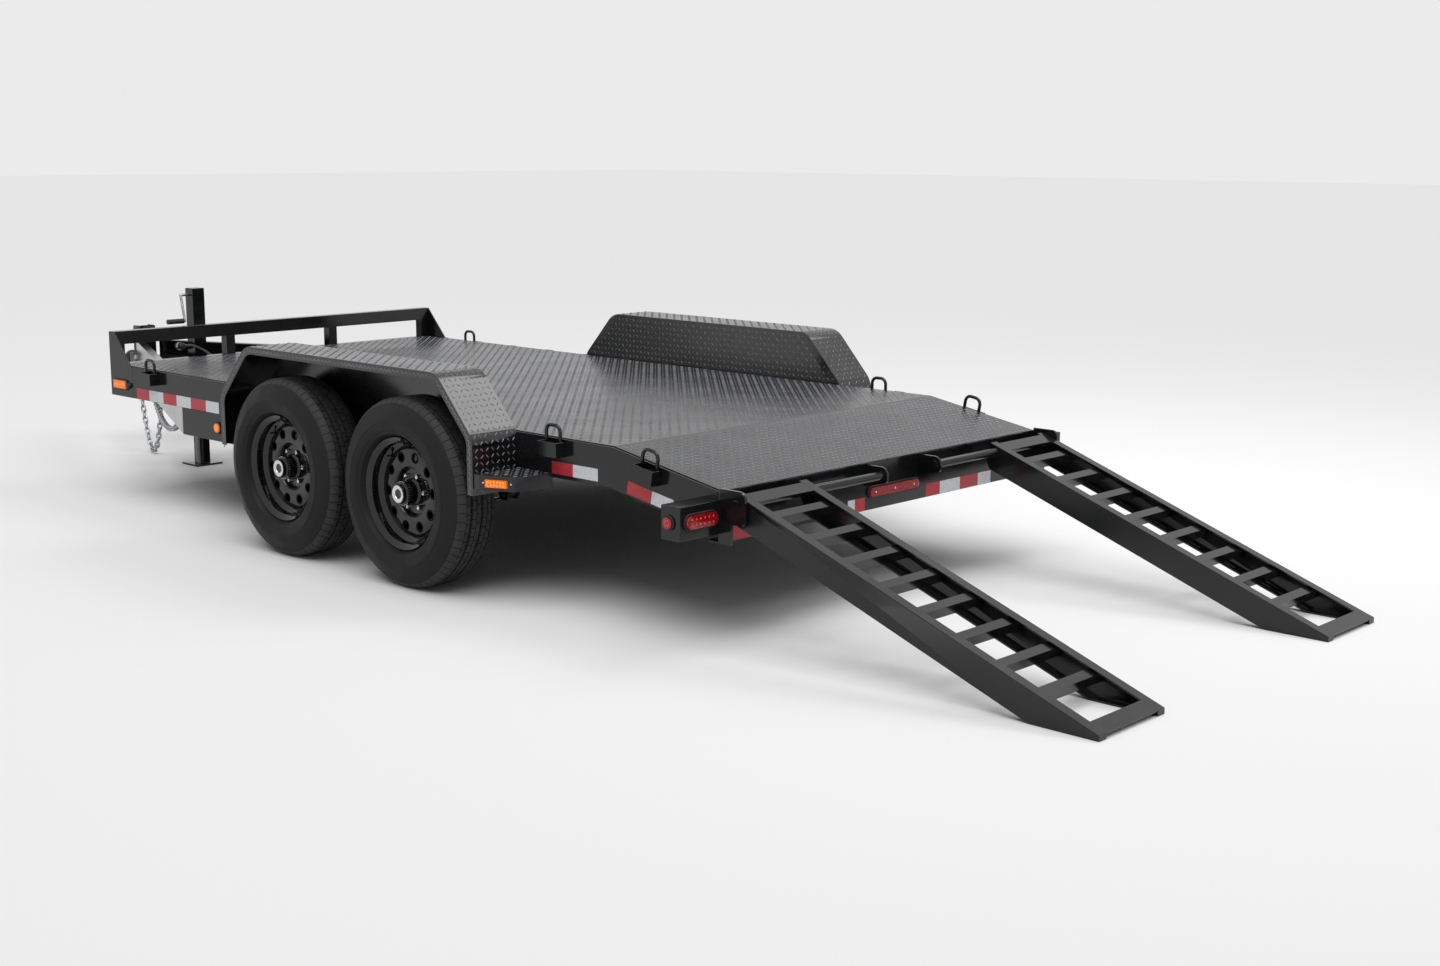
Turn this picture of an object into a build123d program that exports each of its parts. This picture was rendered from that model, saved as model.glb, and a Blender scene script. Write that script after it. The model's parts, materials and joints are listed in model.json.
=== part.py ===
from build123d import *
import math
import os

# Tandem-axle equipment trailer with a low deck between the wheels, a sloping
# beavertail and two hinged ladder ramps. Millimetres. +X points forward to the
# coupler, +Y to the left side, +Z up, and Z = 0 is the ground. The functions
# below work in stations: X = 0 is the rear edge of the beavertail. Every piece
# is moved to the middle of the trailer's length when it is written.

# ---------------------------------------------------------------- frame
FRAME_WIDTH = 1932.0        # over the webs of the two side rails
DECK_HEIGHT = 643.2         # top of the main deck plate
PLATE = 3.2                 # checker plate
TAIL_LENGTH = 535.0         # beavertail, measured level
TAIL_DROP = 93.0            # how much lower the beavertail ends
RAIL_DEPTH = 152.0          # side rail, a channel that opens inwards
RAIL_FLANGE = 50.0
RAIL_WEB = 6.0
RAIL_FLANGE_THICK = 7.0
DECK_FRONT = 4103.0
CORNER_LENGTH = 210.0       # corner plates ahead of the side rails
DECK_EDGE_INSET = 12.0      # strip of rail left bare beside the deck plate
DECK_GAP = 2.0              # deck plate to the posts of the front rail
CROSS_DEPTH = 76.0
CROSS_FLANGE = 36.0
CROSS_WEB = 5.0
CROSS_PITCH = 406.0
CORNER_THICK = 6.0          # corner plates of the front rail
FRONT_RAIL_HEIGHT = 160.0   # above the side rails
FRONT_TUBE = 50.0           # square posts, and the top tube's width
FRONT_TUBE_DEPTH = 64.0
FRONT_WALL = 3.0
POST_INNER = 315.0          # inner pair of posts, from the centreline
REAR_FACE_BOTTOM = 366.0    # rear crossmember
REAR_WEB = 8.0
TAIL_CROSS_STATION = 270.0

# ---------------------------------------------------------------- tongue
TONGUE_DEPTH = 127.0        # channel that lies under the rails and bends in
TONGUE_FLANGE = 45.0
TONGUE_WEB = 6.0
TONGUE_BEND_BACK = 649.0    # bend, back from the deck's front
TONGUE_GAP = 76.0           # the tongue's rear end to the front spring hanger
TONGUE_ANGLE = 24.2         # each side of the A, from straight ahead
NOSE_SPREAD = 76.15         # the rails' webs at the nose, from the centreline
UPPER_DEPTH = 97.0          # second channel on top, from the deck's front to the nose
JACK_CROSS_FLANGE = 42.0    # cross channel that carries the jack
NOSE_TOP = 670.0
NOSE_ROUND = 14.0
NOSE_DROP = 12.0            # the nose channel reaches below the tongue rails
NOSE_HOLE = 8.5
NOSE_HOLE_PITCH = 50.0
NOSE_HOLE_TOP = 84.0        # top hole, down from the channel's top
NOSE_HOLE_FRONT = 30.0      # holes, back from the channel's front edges
NOSE_CHANNEL_WIDTH = 102.0
NOSE_CHANNEL_DEPTH = 70.0
NOSE_CHANNEL_WALL = 8.0
COUPLER_LENGTH = 158.0      # ahead of the nose channel
SHANK_LENGTH = 66.0         # of the coupler, inside the nose channel
COUPLER_BALL_Z = 452.0      # centre of the ball
COUPLER_BALL_RADIUS = 30.2  # socket for a 2 5/16 inch ball
COUPLER_WALL = 8.0

# ---------------------------------------------------------------- jack
JACK_AHEAD = 409.0          # ahead of the deck's front
JACK_Y = 236.0
JACK_TUBE = 70.0
JACK_TUBE_WALL = 5.0
JACK_LEG = 59.4
JACK_TOP = 950.0
JACK_TUBE_BOTTOM = 330.0
JACK_FOOT_X = 150.0
JACK_FOOT_Y = 158.0
JACK_FOOT_THICK = 10.0
CRANK_DROP = 34.0           # crank shaft, down from the jack's top
CRANK_ROD = 7.0
CRANK_REACH = 50.0          # middle of the arm, out from the tube
CRANK_ARM = 138.0
CRANK_TURN = 13.0           # the arm hangs this much to the rear
CRANK_PIN = 5.0
GRIP_RADIUS = 13.0
GRIP_LENGTH = 94.0

# ---------------------------------------------------------------- running gear
AXLE_SHARE = 0.4575         # middle between the axles, share of the deck's front
AXLE_SPACING = 813.0
TYRE_RADIUS = 376.0
TYRE_WIDTH = 235.0
TREAD_WIDTH = 120.0         # nearly flat part, before the round shoulders
WHEEL_OUT = 156.0           # middle of the tyre, out from the side rail
RIM_RADIUS = 221.0          # edge of the rim flange, a 16 inch wheel
RIM_WIDTH = 176.0           # over the flanges
RIM_THICK = 5.0
DISC_FACE = 38.0            # disc's raised face, out from the middle of the tyre
DISC_THICK = 7.0
DISC_RISE_RADIUS = 102.0    # the raised face starts here
MOUNT_FACE = 14.0           # recessed face that the lug nuts sit on
MOUNT_RADIUS = 88.0
VENT_COUNT = 10
VENT_RADIUS = 15.8
VENT_CIRCLE = 142.0
VENT_TURN = -4.0            # first vent, degrees up from straight ahead
HUB_RADIUS = 45.0
COLLAR_RADIUS = 54.0        # stepped collar at the hub's root
HUB_FACE = 99.0             # face of the hub cap, out from the middle of the tyre
CAP_RADIUS = 38.0
DRUM_RADIUS = 168.0
DRUM_WIDTH = 78.0
BEAM_RADIUS = 38.0
SPINDLE_RADIUS = 22.0
SPINDLE_PLAY = 0.4
WHEEL_SIDE_PLAY = 8.0       # drum to backing plate
SPRING_INSET = 36.0         # middle of the springs, in from the rail's web
SPRING_WIDTH = 44.5
SPRING_HALF = 320.5         # half the length between the spring's eyes
SPRING_SAG = 45.0
EYE_WALL = 9.0
LEAF_THICK = 8.0
LEAF_COUNT = 4
SEAT_THICK = 6.0
SEAT_RELIEF = 1.9           # under the seat, so that the bent leaf clears its ends
UBOLT_RADIUS = 6.5
UBOLT_PLAY = 0.5
TIE_PLATE = 12.0
HANGER_PLATE = 6.0
HANGER_PLAY = 0.3           # each side of a spring eye
HANGER_TOP_LENGTH = 110.0
HANGER_LENGTH = 60.0        # at the bolt
HANGER_BOLT = 7.0
BOLT_HEAD = 11.0
BOLT_HEAD_THICK = 8.0
BOLT_PLAY = 0.3
ROCKER_RISE = 55.0          # equalizer pivot above the spring eyes
SHACKLE_RISE = 42.0         # equalizer ends above the spring eyes
SHACKLE_PLATE = 6.0
SHACKLE_RADIUS = 15.0

# ---------------------------------------------------------------- fenders
FENDER_AHEAD = 28.0         # middle of the fender, ahead of the axles' middle
FENDER_WIDTH = 224.0
FENDER_TOP = 866.0
FENDER_KNEE = 639.0
FENDER_BOTTOM = 420.0
FENDER_HALF_TOP = 646.0
FENDER_HALF = 854.0
FENDER_SHEET = 3.0
FENDER_LIP = 33.0
FENDER_ROUND = 100.0
STEP_HEIGHT = 57.0
STEP_TOP = 505.0
STEP_LENGTH = 195.0
STEP_INSET = 4.0            # inside the fender's outer edge
STEP_STRAIGHT = 34.0
STEP_TAPER = 58.0
STEP_CORNER = 30.0

# ---------------------------------------------------------------- ramps
RAMP_WIDTH = 378.0
RAMP_PLAY = 6.0             # ramp to the outer ear
RAMP_TIP = -1508.0
RAMP_SLOPE = 19.885         # degrees, lying on the ground
RAMP_DEPTH = 102.0
RAMP_FLANGE = 41.0
RAMP_WALL = 6.0
RUNG_COUNT = 8
RUNG_PITCH = 164.2
FIRST_RUNG = 127.5          # from the pivot, down the slope
RUNG_SIZE = 38.0
RUNG_THICK = 5.0
RUNG_BELOW_TOP = 12.0
TOP_PLATE_LENGTH = 60.0
TOP_PLATE_START = 22.0      # up the slope from the pivot
FOOT_PLATE_LENGTH = 62.0
PIVOT_STATION = -78.0
PIVOT_BELOW_TOP = 24.0
PIPE_RADIUS = 16.7
PIPE_PLAY = 0.8
EAR_THICK = 12.0
INNER_EAR = 166.0           # middle of the inner ear, from the centreline
INNER_EAR_THICK = 10.0
RAMP_HEEL = 36.0            # how far the stringers run past the pivot
HEEL_CUT = 34.0
RAMP_TIP_HEIGHT = 20.0
EAR_REACH = 116.0
EAR_STEP = 52.0             # the outer ear is full depth as far as this
EAR_LOW = 440.0             # and ends here beyond it
EAR_ROUND = 30.0
EAR_LOW_ROUND = 14.0
REAR_EAR_TOP = 559.0

# ---------------------------------------------------------------- fittings
RING_FRONT_BACK = 395.0     # front ring, back from the deck's front
RING_FENDER_BACK = 213.0    # middle ring, behind the fender
RING_TAIL = 331.0           # rear ring's station, on the beavertail
RING_HALF = 38.0            # half the distance between a ring's legs
RING_ROD = 7.0
RING_TOP = 50.0             # middle of the top bar, above the rail
RING_DEEP = 36.0            # middle of the lower bar, below the rail's top
RING_HIGH_ROUND = 26.0
RING_LOW_ROUND = 12.0
RING_GAP = 3.0              # ring to the rail's web
RING_PLAY = 0.3
CLIP_HALF = 14.0
CLIP_METAL = 4.5
POCKET_LENGTH = 104.0
POCKET_DEPTH = 45.0
POCKET_HEIGHT = 57.0
POCKET_WALL = 4.0
POCKET_DROP = 10.0          # below the rail's top
CORNER_LAMP_BACK = 98.0     # middle of the corner lamps, back from the deck's front
CORNER_LAMP = 110.0
CORNER_LAMP_HEIGHT = 38.0
STEP_LAMP = 88.0
STEP_LAMP_HEIGHT = 28.0
LAMP_DEPTH = 12.0
TONGUE_LAMP_BACK = 305.0    # round lamp, back from the tongue's bend
TAIL_LAMP_RISE = 63.0
TAIL_LAMP = 152.0           # oval lamp, over its lens
TAIL_LAMP_HEIGHT = 46.0
ID_BAR_Z = 434.0
ID_BAR = 300.0
ID_BAR_HEIGHT = 34.0
SIDE_LAMP = 21.0
GROMMET = 7.0
GROMMET_DEPTH = 7.0
BOX_WIDTH = 196.0
BOX_HEIGHT = 119.0
BOX_LENGTH = 90.0
BOX_BOTTOM = 400.0
BOX_WALL = 3.0

# ---------------------------------------------------------------- derived
HALF = FRAME_WIDTH / 2
RAIL_FRONT = DECK_FRONT - CORNER_LENGTH
RAIL_TOP = DECK_HEIGHT - PLATE
RAIL_BOTTOM = RAIL_TOP - RAIL_DEPTH
FLANGE_EDGE = HALF - RAIL_FLANGE
TAIL_ANGLE = math.degrees(math.atan2(TAIL_DROP, TAIL_LENGTH))
TONGUE_TOP = RAIL_BOTTOM
TONGUE_BOTTOM = TONGUE_TOP - TONGUE_DEPTH
TONGUE_SLOPE = math.tan(math.radians(TONGUE_ANGLE))
TONGUE_COS = math.cos(math.radians(TONGUE_ANGLE))
TONGUE_BEND = DECK_FRONT - TONGUE_BEND_BACK
TONGUE_NOSE = TONGUE_BEND + (HALF - NOSE_SPREAD) / TONGUE_SLOPE
JACK_STATION = DECK_FRONT + JACK_AHEAD
AXLE_MIDDLE = DECK_FRONT * AXLE_SHARE
AXLES = {"rear": AXLE_MIDDLE - AXLE_SPACING / 2, "front": AXLE_MIDDLE + AXLE_SPACING / 2}
TONGUE_REAR = AXLES["front"] + SPRING_HALF + HANGER_TOP_LENGTH / 2 + TONGUE_GAP
SIDES = {"left": 1, "right": -1}
WHEEL_PLANE = HALF + WHEEL_OUT
SPRING_Y = HALF - SPRING_INSET
FENDER_OUTER = HALF + FENDER_WIDTH
FENDER_MIDDLE = AXLE_MIDDLE + FENDER_AHEAD
RING_STATIONS = [DECK_FRONT - RING_FRONT_BACK, FENDER_MIDDLE - FENDER_HALF - RING_FENDER_BACK, RING_TAIL]
RAMP_OUTER = HALF - EAR_THICK - RAMP_PLAY
RAMP_COS = math.cos(math.radians(RAMP_SLOPE))
RAMP_SIN = math.sin(math.radians(RAMP_SLOPE))
RAMP_TAN = math.tan(math.radians(RAMP_SLOPE))
SPINDLE_BORE = SPINDLE_RADIUS + SPINDLE_PLAY
SPRING_ARC = (SPRING_HALF ** 2 + SPRING_SAG ** 2) / (2 * SPRING_SAG)
SPRING_TOP = TYRE_RADIUS - BEAM_RADIUS - SEAT_THICK - SEAT_RELIEF
EYE_BORE = HANGER_BOLT + BOLT_PLAY
EYE_Z = SPRING_TOP + SPRING_SAG + EYE_BORE
ROCKER_HALF = AXLE_SPACING / 2 - SPRING_HALF
MOUNT_BACK = MOUNT_FACE - DISC_THICK
BEAM_END = WHEEL_PLANE + MOUNT_BACK - DRUM_WIDTH - WHEEL_SIDE_PLAY
PIVOT_Z = ((PIVOT_STATION - RAMP_TIP) * RAMP_TAN + RAMP_TIP_HEIGHT
           - PIVOT_BELOW_TOP / RAMP_COS)
COUPLER_FRONT = TONGUE_NOSE + NOSE_CHANNEL_DEPTH + COUPLER_LENGTH
MID_STATION = (COUPLER_FRONT + RAMP_TIP) / 2


# ---------------------------------------------------------------- helpers
def block(x0, x1, y0, y1, z0, z1):
    """A box between two corners."""
    centre = Pos((x0 + x1) / 2, (y0 + y1) / 2, (z0 + z1) / 2)
    return centre * Box(abs(x1 - x0), abs(y1 - y0), abs(z1 - z0))


def rod_y(x, z, radius, y0, y1):
    """A cylinder that lies across the trailer."""
    return Pos(x, (y0 + y1) / 2, z) * Rot(90, 0, 0) * Cylinder(radius, abs(y1 - y0))


def rod_x(y, z, radius, x0, x1):
    """A cylinder that lies along the trailer."""
    return Pos((x0 + x1) / 2, y, z) * Rot(0, 90, 0) * Cylinder(radius, abs(x1 - x0))


def side_prism(points, y0, y1):
    """A side view outline of (x, z) points, drawn out from y0 to y1."""
    outline = Polyline(*[(x, y0, z) for x, z in points], close=True)
    return extrude(make_face(outline), amount=abs(y1 - y0), dir=(0, math.copysign(1, y1 - y0), 0))


def plan_prism(points, z0, z1):
    """A plan view outline of (x, y) points, drawn up from z0 to z1."""
    outline = Polyline(*[(x, y, z0) for x, y in points], close=True)
    return extrude(make_face(outline), amount=z1 - z0, dir=(0, 0, 1))


def mirrored(shape):
    """The same shape on the other side of the trailer."""
    return mirror(shape, about=Plane.XZ)


def on_side(shape, side):
    """A left-hand shape, or its mirror image for the right."""
    return shape if side == "left" else mirrored(shape)


def save(name, *shapes):
    """Write one node, its solids moved from stations to the trailer's middle."""
    solids = [solid for shape in shapes for solid in shape.solids()]
    moved = [Pos(-MID_STATION, 0, 0) * solid for solid in solids]
    export_step(moved[0] if len(moved) == 1 else Compound(children=moved), f"parts/{name}.step")


def rail_top_at(x):
    """Height of the side rail's top at a station."""
    return RAIL_TOP - max(0.0, TAIL_LENGTH - x) * TAIL_DROP / TAIL_LENGTH


# ---------------------------------------------------------------- frame pieces
def rail_outline(inset, rear, front):
    """Side view of a rail, its top and bottom edges moved in by inset."""
    tilt = math.radians(TAIL_ANGLE)
    rise = inset / math.cos(tilt)
    shift = math.tan(tilt / 2)
    deep = RAIL_DEPTH - inset
    return [
        (rear, rail_top_at(rear) - rise),
        (TAIL_LENGTH + inset * shift, RAIL_TOP - inset),
        (front, RAIL_TOP - inset),
        (front, RAIL_TOP - deep),
        (TAIL_LENGTH + deep * shift, RAIL_TOP - deep),
        (rear, rail_top_at(rear) - deep / math.cos(tilt)),
    ]


def side_rail():
    """Left side rail, a channel that opens inwards and follows the beavertail."""
    body = side_prism(rail_outline(0, REAR_WEB, RAIL_FRONT), FLANGE_EDGE, HALF)
    hollow = side_prism(rail_outline(RAIL_FLANGE_THICK, REAR_WEB - 1, RAIL_FRONT + 1),
                        FLANGE_EDGE - 1, HALF - RAIL_WEB)
    return body - hollow


def corner_plate():
    """Left corner plate, which closes the rail and carries the front rail."""
    top = RAIL_TOP + FRONT_RAIL_HEIGHT
    points = [
        (RAIL_FRONT, RAIL_BOTTOM),
        (DECK_FRONT, RAIL_BOTTOM),
        (DECK_FRONT, top),
        (DECK_FRONT - FRONT_TUBE, top),
        (RAIL_FRONT + 12, RAIL_TOP),
        (RAIL_FRONT, RAIL_TOP),
    ]
    return side_prism(points, HALF - CORNER_THICK, HALF)


def front_crossmember():
    """Box tube across the front of the deck."""
    reach = HALF - CORNER_THICK
    outer = block(DECK_FRONT - FRONT_TUBE, DECK_FRONT, -reach, reach, RAIL_BOTTOM, RAIL_TOP)
    inner = block(DECK_FRONT - FRONT_TUBE + RAIL_WEB, DECK_FRONT - RAIL_WEB, -reach - 1, reach + 1,
                  RAIL_BOTTOM + RAIL_WEB, RAIL_TOP - RAIL_WEB)
    return outer - inner


def cross_channel(top):
    """One crossmember about X = 0, its web to the rear."""
    outer = block(0, CROSS_FLANGE, -FLANGE_EDGE, FLANGE_EDGE, top - CROSS_DEPTH, top)
    inner = block(CROSS_WEB, CROSS_FLANGE + 1, -FLANGE_EDGE - 1, FLANGE_EDGE + 1,
                  top - CROSS_DEPTH + CROSS_WEB, top - CROSS_WEB)
    return outer - inner


def crossmembers():
    """Cross channels under the deck and one under the beavertail."""
    count = int((RAIL_FRONT - TAIL_LENGTH) / CROSS_PITCH)
    first = RAIL_FRONT - count * CROSS_PITCH
    stations = [first + i * CROSS_PITCH for i in range(count)]
    pieces = [Pos(x, 0, 0) * cross_channel(RAIL_TOP) for x in stations]
    pieces.append(Pos(TAIL_CROSS_STATION, 0, rail_top_at(TAIL_CROSS_STATION))
                  * Rot(0, -TAIL_ANGLE, 0) * cross_channel(0))
    return pieces


def deck_plate():
    """Main deck plate, level, from the break to the front rail's posts."""
    edge = HALF - DECK_EDGE_INSET
    front = DECK_FRONT - FRONT_TUBE - DECK_GAP
    return block(TAIL_LENGTH, front, -edge, edge, RAIL_TOP, DECK_HEIGHT)


def beavertail_plate():
    """Sloping plate from the break down to the rear edge."""
    edge = HALF - DECK_EDGE_INSET
    points = [
        (0, rail_top_at(0)),
        (TAIL_LENGTH, RAIL_TOP),
        (TAIL_LENGTH, DECK_HEIGHT),
        (0, rail_top_at(0) + PLATE),
    ]
    return side_prism(points, -edge, edge)


def rear_crossmember():
    """Deep channel across the tail, its web to the rear."""
    top = rail_top_at(0)
    web = block(0, REAR_WEB, -HALF, HALF, REAR_FACE_BOTTOM, top)
    upper = block(REAR_WEB, REAR_WEB + RAIL_FLANGE, -FLANGE_EDGE, FLANGE_EDGE,
                  top - RAIL_WEB, top)
    lower = block(REAR_WEB, REAR_WEB + RAIL_FLANGE, -HALF, HALF,
                  REAR_FACE_BOTTOM, REAR_FACE_BOTTOM + RAIL_WEB)
    return web + upper + lower


def front_rail():
    """Top tube on four posts that stand on the front crossmember."""
    reach = HALF - CORNER_THICK
    x0 = DECK_FRONT - FRONT_TUBE
    top = RAIL_TOP + FRONT_RAIL_HEIGHT
    rail = block(x0, DECK_FRONT, -reach, reach, top - FRONT_TUBE_DEPTH, top)
    rail -= block(x0 + FRONT_WALL, DECK_FRONT - FRONT_WALL, -reach - 1, reach + 1,
                  top - FRONT_TUBE_DEPTH + FRONT_WALL, top - FRONT_WALL)
    for y in (-reach + FRONT_TUBE / 2, -POST_INNER, POST_INNER, reach - FRONT_TUBE / 2):
        rail += block(x0, DECK_FRONT, y - FRONT_TUBE / 2, y + FRONT_TUBE / 2,
                      RAIL_TOP, top - FRONT_TUBE_DEPTH)
    return rail


# ---------------------------------------------------------------- tongue pieces
def tongue_y(x, offset):
    """Distance out to a line moved in from the tongue's web, ahead of the bend."""
    return HALF - (x - TONGUE_BEND) * TONGUE_SLOPE - offset / TONGUE_COS


def tongue_line(offset, rear, front):
    """Plan view points of the tongue's path, moved in from the web by offset."""
    half_angle = math.tan(math.radians(TONGUE_ANGLE) / 2)
    return [
        (rear, HALF - offset),
        (TONGUE_BEND - offset * half_angle, HALF - offset),
        (front, tongue_y(front, offset)),
    ]


def tongue_band(near, far, rear, front, z0, z1):
    """The part of the tongue between two distances in from its web."""
    return plan_prism(tongue_line(near, rear, front) + tongue_line(far, rear, front)[::-1], z0, z1)


def tongue_rail():
    """Left tongue channel: under the side rail, then bent in to the nose."""
    body = tongue_band(0, TONGUE_FLANGE, TONGUE_REAR, TONGUE_NOSE, TONGUE_BOTTOM, TONGUE_TOP)
    hollow = tongue_band(TONGUE_WEB, TONGUE_FLANGE + 1, TONGUE_REAR - 1, TONGUE_NOSE + 1,
                         TONGUE_BOTTOM + TONGUE_WEB, TONGUE_TOP - TONGUE_WEB)
    return body - hollow


def upper_band(near, far, rear, front, z0, z1):
    """The part of the upper channel between two distances in from its web."""
    return plan_prism([
        (rear, tongue_y(rear, near)),
        (front, tongue_y(front, near)),
        (front, tongue_y(front, far)),
        (rear, tongue_y(rear, far)),
    ], z0, z1)


def upper_rail():
    """Left channel on top of the tongue rail, from the deck's front to the nose."""
    top = TONGUE_TOP + UPPER_DEPTH
    body = upper_band(0, TONGUE_FLANGE, DECK_FRONT, TONGUE_NOSE, TONGUE_TOP, top)
    hollow = upper_band(TONGUE_WEB, TONGUE_FLANGE + 1, DECK_FRONT - 1, TONGUE_NOSE + 1,
                        TONGUE_TOP + TONGUE_WEB, top - TONGUE_WEB)
    return body - hollow


def tongue_cross():
    """Cross channel between the two tongue rails, which carries the jack."""
    front = JACK_STATION - JACK_TUBE / 2
    rear = front - JACK_CROSS_FLANGE
    rear_y = tongue_y(rear, TONGUE_FLANGE)
    front_y = tongue_y(front, TONGUE_FLANGE)
    body = plan_prism([(rear, -rear_y), (rear, rear_y), (front, front_y), (front, -front_y)],
                      TONGUE_BOTTOM, TONGUE_TOP)
    hollow = block(rear - 1, front - TONGUE_WEB, -HALF, HALF,
                   TONGUE_BOTTOM + TONGUE_WEB, TONGUE_TOP - TONGUE_WEB)
    return body - hollow


def nose_channel():
    """Upright channel on the tongue's nose, drilled for the coupler's height."""
    x0 = TONGUE_NOSE
    x1 = TONGUE_NOSE + NOSE_CHANNEL_DEPTH
    z0 = TONGUE_BOTTOM - NOSE_DROP
    z1 = NOSE_TOP
    half = NOSE_CHANNEL_WIDTH / 2
    body = block(x0, x1, -half, half, z0, z1)
    body = fillet(body.edges().filter_by(Axis.X).group_by(Axis.Z)[-1], radius=NOSE_ROUND)
    body -= block(x0 + NOSE_CHANNEL_WALL, x1 + 1, -half + NOSE_CHANNEL_WALL,
                  half - NOSE_CHANNEL_WALL, z0 - 1, z1 + 1)
    for row in range(4):
        z = NOSE_TOP - NOSE_HOLE_TOP - row * NOSE_HOLE_PITCH
        body -= rod_y(x1 - NOSE_HOLE_FRONT, z, NOSE_HOLE, -half - 1, half + 1)
    return body


def coupler():
    """Cast ball coupler: a shank in the nose channel and a round socket."""
    half = NOSE_CHANNEL_WIDTH / 2 - NOSE_CHANNEL_WALL - 0.3
    x0 = TONGUE_NOSE + NOSE_CHANNEL_WALL + 0.3
    nose = COUPLER_FRONT - COUPLER_BALL_RADIUS - COUPLER_WALL - 4
    low = COUPLER_BALL_Z - 22
    middle = low + 31
    end = x0 + SHANK_LENGTH
    shank = block(x0, end, -half, half, middle - NOSE_HOLE_PITCH, middle + NOSE_HOLE_PITCH)
    neck = plan_prism([(end - 5, -half), (end - 5, half), (nose, 30), (nose, -30)], low, low + 62)
    head_radius = COUPLER_BALL_RADIUS + COUPLER_WALL + 4
    head = Pos(nose, 0, middle) * Cylinder(head_radius, 62)
    dome = Pos(nose, 0, low + 62) * Sphere(head_radius, arc_size1=0)
    body = shank + neck + head + (dome & block(nose - 60, nose + 60, -60, 60, low + 60, low + 90))
    body -= Pos(nose, 0, COUPLER_BALL_Z) * Sphere(COUPLER_BALL_RADIUS)
    body -= Pos(nose, 0, (low - 1 + COUPLER_BALL_Z) / 2) * Cylinder(
        COUPLER_BALL_RADIUS, COUPLER_BALL_Z - low + 1)
    body -= block(x0 + 10, end - 12, -half + 8, half - 8, middle - NOSE_HOLE_PITCH - 1, middle + 42)
    return body


def coupler_latch():
    """Lever latch on top of the coupler."""
    nose = COUPLER_FRONT - COUPLER_BALL_RADIUS - COUPLER_WALL - 4
    top = COUPLER_BALL_Z - 22 + 62
    lever = block(nose - 102, nose - 44, -9, 9, top + 0.2, top + 22)
    grip = block(nose - 110, nose - 86, -15, 15, top + 20, top + 34)
    return lever + grip


def nose_bolts():
    """Two bolts through the nose channel and the coupler's shank."""
    x = TONGUE_NOSE + NOSE_CHANNEL_DEPTH - NOSE_HOLE_FRONT
    half = NOSE_CHANNEL_WIDTH / 2
    pieces = []
    for row in (2, 3):
        z = NOSE_TOP - NOSE_HOLE_TOP - row * NOSE_HOLE_PITCH
        for s in (-1, 1):
            head = rod_y(x, z, 13, s * (half + 0.2), s * (half + 12))
            pieces.append(head)
    return pieces


# ---------------------------------------------------------------- jack
def jack_tube():
    """Square outer tube of the drop-leg jack, closed at its top."""
    r = JACK_TUBE / 2
    body = block(JACK_STATION - r, JACK_STATION + r, JACK_Y - r, JACK_Y + r,
                 JACK_TUBE_BOTTOM, JACK_TOP)
    bore = r - JACK_TUBE_WALL
    body -= block(JACK_STATION - bore, JACK_STATION + bore, JACK_Y - bore, JACK_Y + bore,
                  JACK_TUBE_BOTTOM - 1, JACK_TOP - JACK_TUBE_WALL)
    return body


def jack_leg():
    """Inner leg and its foot plate, standing on the ground."""
    r = JACK_LEG / 2
    leg = block(JACK_STATION - r, JACK_STATION + r, JACK_Y - r, JACK_Y + r,
                JACK_FOOT_THICK, JACK_TUBE_BOTTOM + 200)
    leg -= block(JACK_STATION - r + 5, JACK_STATION + r - 5, JACK_Y - r + 5, JACK_Y + r - 5,
                 JACK_FOOT_THICK, JACK_TUBE_BOTTOM + 201)
    foot = block(JACK_STATION - JACK_FOOT_X / 2, JACK_STATION + JACK_FOOT_X / 2,
                 JACK_Y - JACK_FOOT_Y / 2, JACK_Y + JACK_FOOT_Y / 2, 0, JACK_FOOT_THICK)
    return leg + foot


def crank_frame():
    """Crank shaft's axis at the tube's face, turned so that -Z runs down the arm."""
    return Pos(JACK_STATION, JACK_Y + JACK_TUBE / 2, JACK_TOP - CRANK_DROP) * Rot(0, CRANK_TURN, 0)


def jack_crank():
    """Side-wind crank: one bent rod, its shaft, its arm and the grip's pin."""
    r = CRANK_ROD
    shape = rod_y(0, 0, r, 0.3, CRANK_REACH)
    shape += Pos(0, CRANK_REACH, 0) * Sphere(r)
    shape += Pos(0, CRANK_REACH, -CRANK_ARM / 2) * Cylinder(r, CRANK_ARM)
    shape += Pos(0, CRANK_REACH, -CRANK_ARM) * Sphere(r)
    shape += rod_y(0, -CRANK_ARM, CRANK_PIN, CRANK_REACH, CRANK_REACH + GRIP_LENGTH)
    return crank_frame() * shape


def crank_grip():
    """Turning grip on the crank's pin."""
    y0 = CRANK_REACH + CRANK_ROD + 0.6
    grip = rod_y(0, -CRANK_ARM, GRIP_RADIUS, y0, y0 + GRIP_LENGTH)
    grip -= rod_y(0, -CRANK_ARM, CRANK_PIN + 0.3, y0 - 1, y0 + GRIP_LENGTH - 5)
    return crank_frame() * grip


# ---------------------------------------------------------------- running gear
def axle(x):
    """Straight tubular axle with spindles, backing plates and spring seats."""
    z = TYRE_RADIUS
    shape = rod_y(x, z, BEAM_RADIUS, -BEAM_END, BEAM_END)
    for s in (-1, 1):
        shape += rod_y(x, z, SPINDLE_RADIUS, s * (BEAM_END - 1), s * (WHEEL_PLANE + 60))
        shape += rod_y(x, z, DRUM_RADIUS - 6, s * (BEAM_END - 5), s * BEAM_END)
        shape += block(x - 60, x + 60, s * (SPRING_Y - SPRING_WIDTH / 2), s * (SPRING_Y + SPRING_WIDTH / 2),
                       z - BEAM_RADIUS - SEAT_THICK, z - BEAM_RADIUS + 14)
    return shape


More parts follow.
